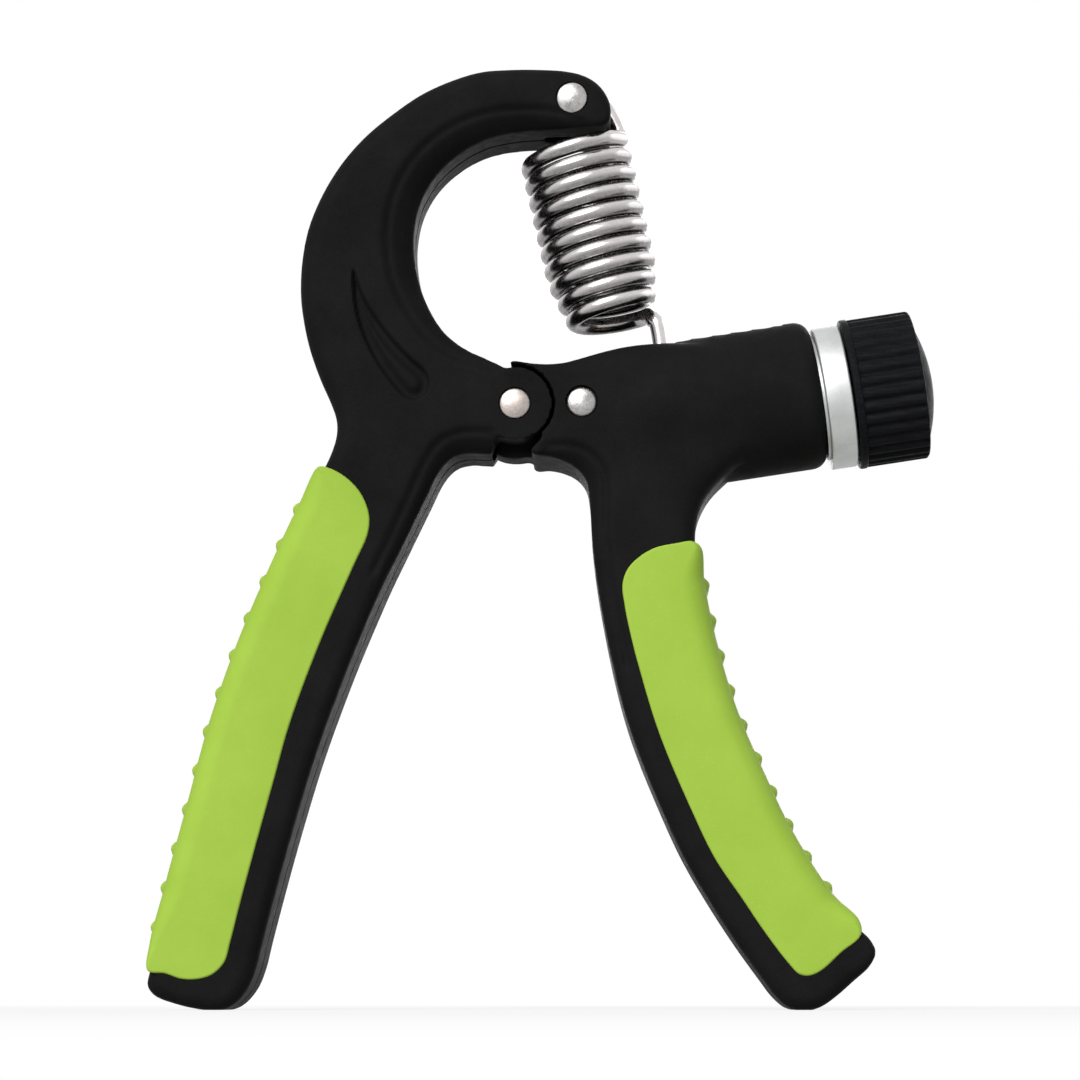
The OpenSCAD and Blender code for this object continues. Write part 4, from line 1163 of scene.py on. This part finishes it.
def build_spring():
    path = spring_path()
    heading = np.gradient(path, axis=0)
    heading /= norm(heading, axis=1)[:, None]
    side = BACK
    turn = 2 * pi * np.arange(WIRE_SIDES) / WIRE_SIDES
    verts, reach, painted_shade = [], [], []
    n = len(path)
    for i, (at, ahead) in enumerate(zip(path, heading)):
        side = side - ahead * (side @ ahead)
        side /= norm(side)
        missing = max(END_RINGS - min(i, n - 1 - i), 0)
        radius = WIRE_R * sqrt(1 - (missing / (END_RINGS + 0.4)) ** 2)
        out = np.cos(turn)[:, None] * side + np.sin(turn)[:, None] * np.cross(ahead, side)
        verts += list(at + radius * out)
        down = (at - SPRING_PIN) @ -COIL_AXIS
        reach += [down] * WIRE_SIDES
        painted_shade += list(wire_painted_shade(down, out))
    ends = [tuple(range(WIRE_SIDES)), tuple(range((n - 1) * WIRE_SIDES, n * WIRE_SIDES))]
    spring = add_mesh("spring_wire", verts, tube_faces(n, WIRE_SIDES) + ends)
    share = np.interp(reach, STRETCH_PLACES, STRETCH_SHARES)
    # Stores the stretch share, and the painted shade that darkens the wire between and under the
    # coils and on the hook
    for name, values in (("stretch_share", share), ("painted_shade", painted_shade)):
        attribute = spring.data.attributes.new(name, "FLOAT", "POINT")
        attribute.data.foreach_set("value", np.array(values, np.float32))
    finish_piece(spring, "spring", "spring_chrome", "spring", sharp=70)
    follow_pins(spring)


def pin_marker(name, at, body):
    empty = add_to_scene(name, None)
    empty.location = Vector(at) * MM
    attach(empty, body)
    return empty


def follow_pins(spring):
    """Turns the spring round its upper pin and stretches it to the lower one."""
    tree = bpy.data.node_groups.new("follow_pins", "GeometryNodeTree")
    for in_out in ("INPUT", "OUTPUT"):
        tree.interface.new_socket("Geometry", in_out=in_out, socket_type="NodeSocketGeometry")
    nodes = Nodes(tree)

    def place_of(obj):
        node = nodes.add("GeometryNodeObjectInfo", {"Object": obj}, transform_space="RELATIVE")
        return node.outputs["Location"]

    rest_top = Vector(SPRING_PIN) * MM
    rest_reach = Vector(HOOK_AT - SPRING_PIN) * MM
    top = place_of(pin_marker("spring_top_marker", SPRING_PIN, "left_lever"))
    bottom = place_of(pin_marker("spring_bottom_marker", HOOK_AT, "nut"))
    reach = nodes.vector("SUBTRACT", bottom, top)
    parts = nodes.add("SeparateXYZ", {"Vector": reach}).outputs
    heading = nodes.maths("ARCTAN2", parts["X"], parts["Z"])
    turn = nodes.maths("SUBTRACT", heading, atan2(rest_reach.x, rest_reach.z))
    length = nodes.vector("LENGTH", reach, output="Value")
    stretch = nodes.maths("SUBTRACT", length, rest_reach.length)
    share = nodes.add("GeometryNodeInputNamedAttribute", {"Name": "stretch_share"}).outputs[0]
    place = nodes.add("GeometryNodeInputPosition").outputs["Position"]
    swing = {"Vector": place, "Center": rest_top, "Angle": turn}
    swung = nodes.add("VectorRotate", swing, rotation_type="Y_AXIS").outputs["Vector"]
    amount = nodes.maths("MULTIPLY", stretch, share)
    pull = nodes.vector("SCALE", nodes.vector("NORMALIZE", reach), Scale=amount)
    shift = nodes.vector("SUBTRACT", top, tuple(rest_top))
    settled = nodes.vector("ADD", nodes.vector("ADD", swung, pull), shift)
    given = nodes.add("NodeGroupInput").outputs["Geometry"]
    moved = nodes.add("GeometryNodeSetPosition", {"Geometry": given, "Position": settled})
    nodes.add("NodeGroupOutput", {"Geometry": moved.outputs["Geometry"]})
    spring.modifiers.new("follow_pins", "NODES").node_group = tree


# ---- The pieces ----
build_left_lever()
build_right_lever()
build_grip("left_grip", LEFT_OUTER, LEFT_GRIP_EDGE, 12, (7.4, 2.9))
build_grip("right_grip", RIGHT_OUTER, RIGHT_GRIP_EDGE, 10, (7.6, 6))
build_rivet("pivot_rivet", PIVOT, PIVOT_PIN_R, HEAD_SINK, "left_lever", "rivet_satin")
build_rivet("spring_rivet", SPRING_PIN, SMALL_PIN_R, TIP_SINK, "left_lever")
build_rivet("screw_retaining_pin", RETAINING_AT, SMALL_PIN_R, DEEP_SINK, "right_lever")
build_ring()
build_knob()
build_cap()
build_spring()

# Pieces that keep their CAD meshes, and their looks
KEPT_NODES = {
    "left_rivet_washers": "washer_steel", "retaining_pin_washer": "washer_steel",
    "pivot_bush": "bush_brass", "slide_nut": "nut_brass", "thrust_washer": "washer_nylon",
    "adjuster_screw": "screw_steel", "knob_screw": "screw_steel", "hook_pin": "screw_steel",
}
for node_name, look_name in KEPT_NODES.items():
    dress(frame["nodes"][node_name], look_name)

# ---- Floor, world, lamps and camera ----
FLOOR_HALF = 2.5
FLOOR_TONE = 0.45
PALE_TONE = 0.9
# Distances from the middle and the share of white light there
FLOOR_GLOW = (0.14, 0.45, 0.78, 1)
SKY_LEVEL = 0.14
OBJECT_MIDDLE = Vector((0, 0, 0.08))
CAMERA_AT = (0.01185, -0.62, 0.002)
CAMERA_AIM = (-0.001113, 0, 0.079734)
FRAME_PX = 1080
FOCAL_PX = 3652.7
SENSOR_MM = 36


def grey(level):
    return (level, level, level, 1)


def white_for_view(nodes, plain, white, output):
    """Shows white to the camera and to reflections, and the plain shader to the rest."""
    path = nodes.add("LightPath").outputs
    seen = path["Is Camera Ray"]
    for name in ("Is Glossy Ray", "Is Transmission Ray"):
        seen = nodes.maths("MAXIMUM", seen, path[name])
    mix = nodes.add("MixShader", {"Fac": seen, 1: plain, 2: white})
    nodes.add(output, {"Surface": mix.outputs["Shader"]})


def build_floor():
    """A plain floor that keeps the shadow and fades to white light further out."""
    ground = [(x * FLOOR_HALF, y * FLOOR_HALF, 0) for x, y in ((-1, -1), (1, -1), (1, 1), (-1, 1))]
    floor = add_mesh("floor", ground, [(0, 1, 2, 3)])
    material = bpy.data.materials.new("pale_floor")
    material.use_nodes = True
    nodes = Nodes(material.node_tree)
    plain = nodes.add("BsdfDiffuse", {"Color": grey(FLOOR_TONE)}).outputs["BSDF"]
    pale = nodes.add("BsdfDiffuse", {"Color": grey(PALE_TONE)}).outputs["BSDF"]
    glow = nodes.add("Emission", {"Color": grey(1), "Strength": 1}).outputs["Emission"]
    place = nodes.add("TexCoord").outputs["Object"]
    share = nodes.spread(nodes.vector("LENGTH", place, output="Value"), *FLOOR_GLOW)
    part_glow = nodes.add("MixShader", {"Fac": share, 1: pale, 2: glow}).outputs["Shader"]
    white_for_view(nodes, plain, part_glow, "OutputMaterial")
    floor.data.materials.append(material)


def build_world():
    world = bpy.data.worlds.new("studio")
    bpy.context.scene.world = world
    world.use_nodes = True
    nodes = Nodes(world.node_tree)
    plain, white = (
        nodes.add("Background", {"Color": grey(1), "Strength": level}).outputs["Background"]
        for level in (SKY_LEVEL, 1)
    )
    white_for_view(nodes, plain, white, "OutputWorld")


def aim(obj, target):
    obj.rotation_euler = (Vector(target) - obj.location).to_track_quat("-Z", "Y").to_euler()


def add_lamp(name, side, softness, level):
    """A wide far lamp, which adds the level to a white surface that faces it."""
    light = bpy.data.lights.new(name, "SUN")
    light.angle = radians(softness)
    light.energy = level * pi
    lamp = add_to_scene(name, light)
    lamp.location = OBJECT_MIDDLE + Vector(side).normalized()
    aim(lamp, OBJECT_MIDDLE)


def build_camera():
    """The photo's camera, placed by its perspective."""
    data = bpy.data.cameras.new("camera")
    data.sensor_width = SENSOR_MM
    data.lens = FOCAL_PX / FRAME_PX * SENSOR_MM
    data.clip_start = 0.01
    data.clip_end = 20
    camera = add_to_scene("camera", data)
    camera.location = CAMERA_AT
    aim(camera, CAMERA_AIM)
    bpy.context.scene.camera = camera


build_floor()
build_world()
add_lamp("key", (-0.32, -0.8, 0.5), 45, 0.93)
add_lamp("side", (0.85, 0.35, 0.3), 50, 0.18)
add_lamp("back", (0.1, 0.95, 0.15), 50, 0.5)
build_camera()
bpy.context.scene.view_settings.view_transform = "Standard"
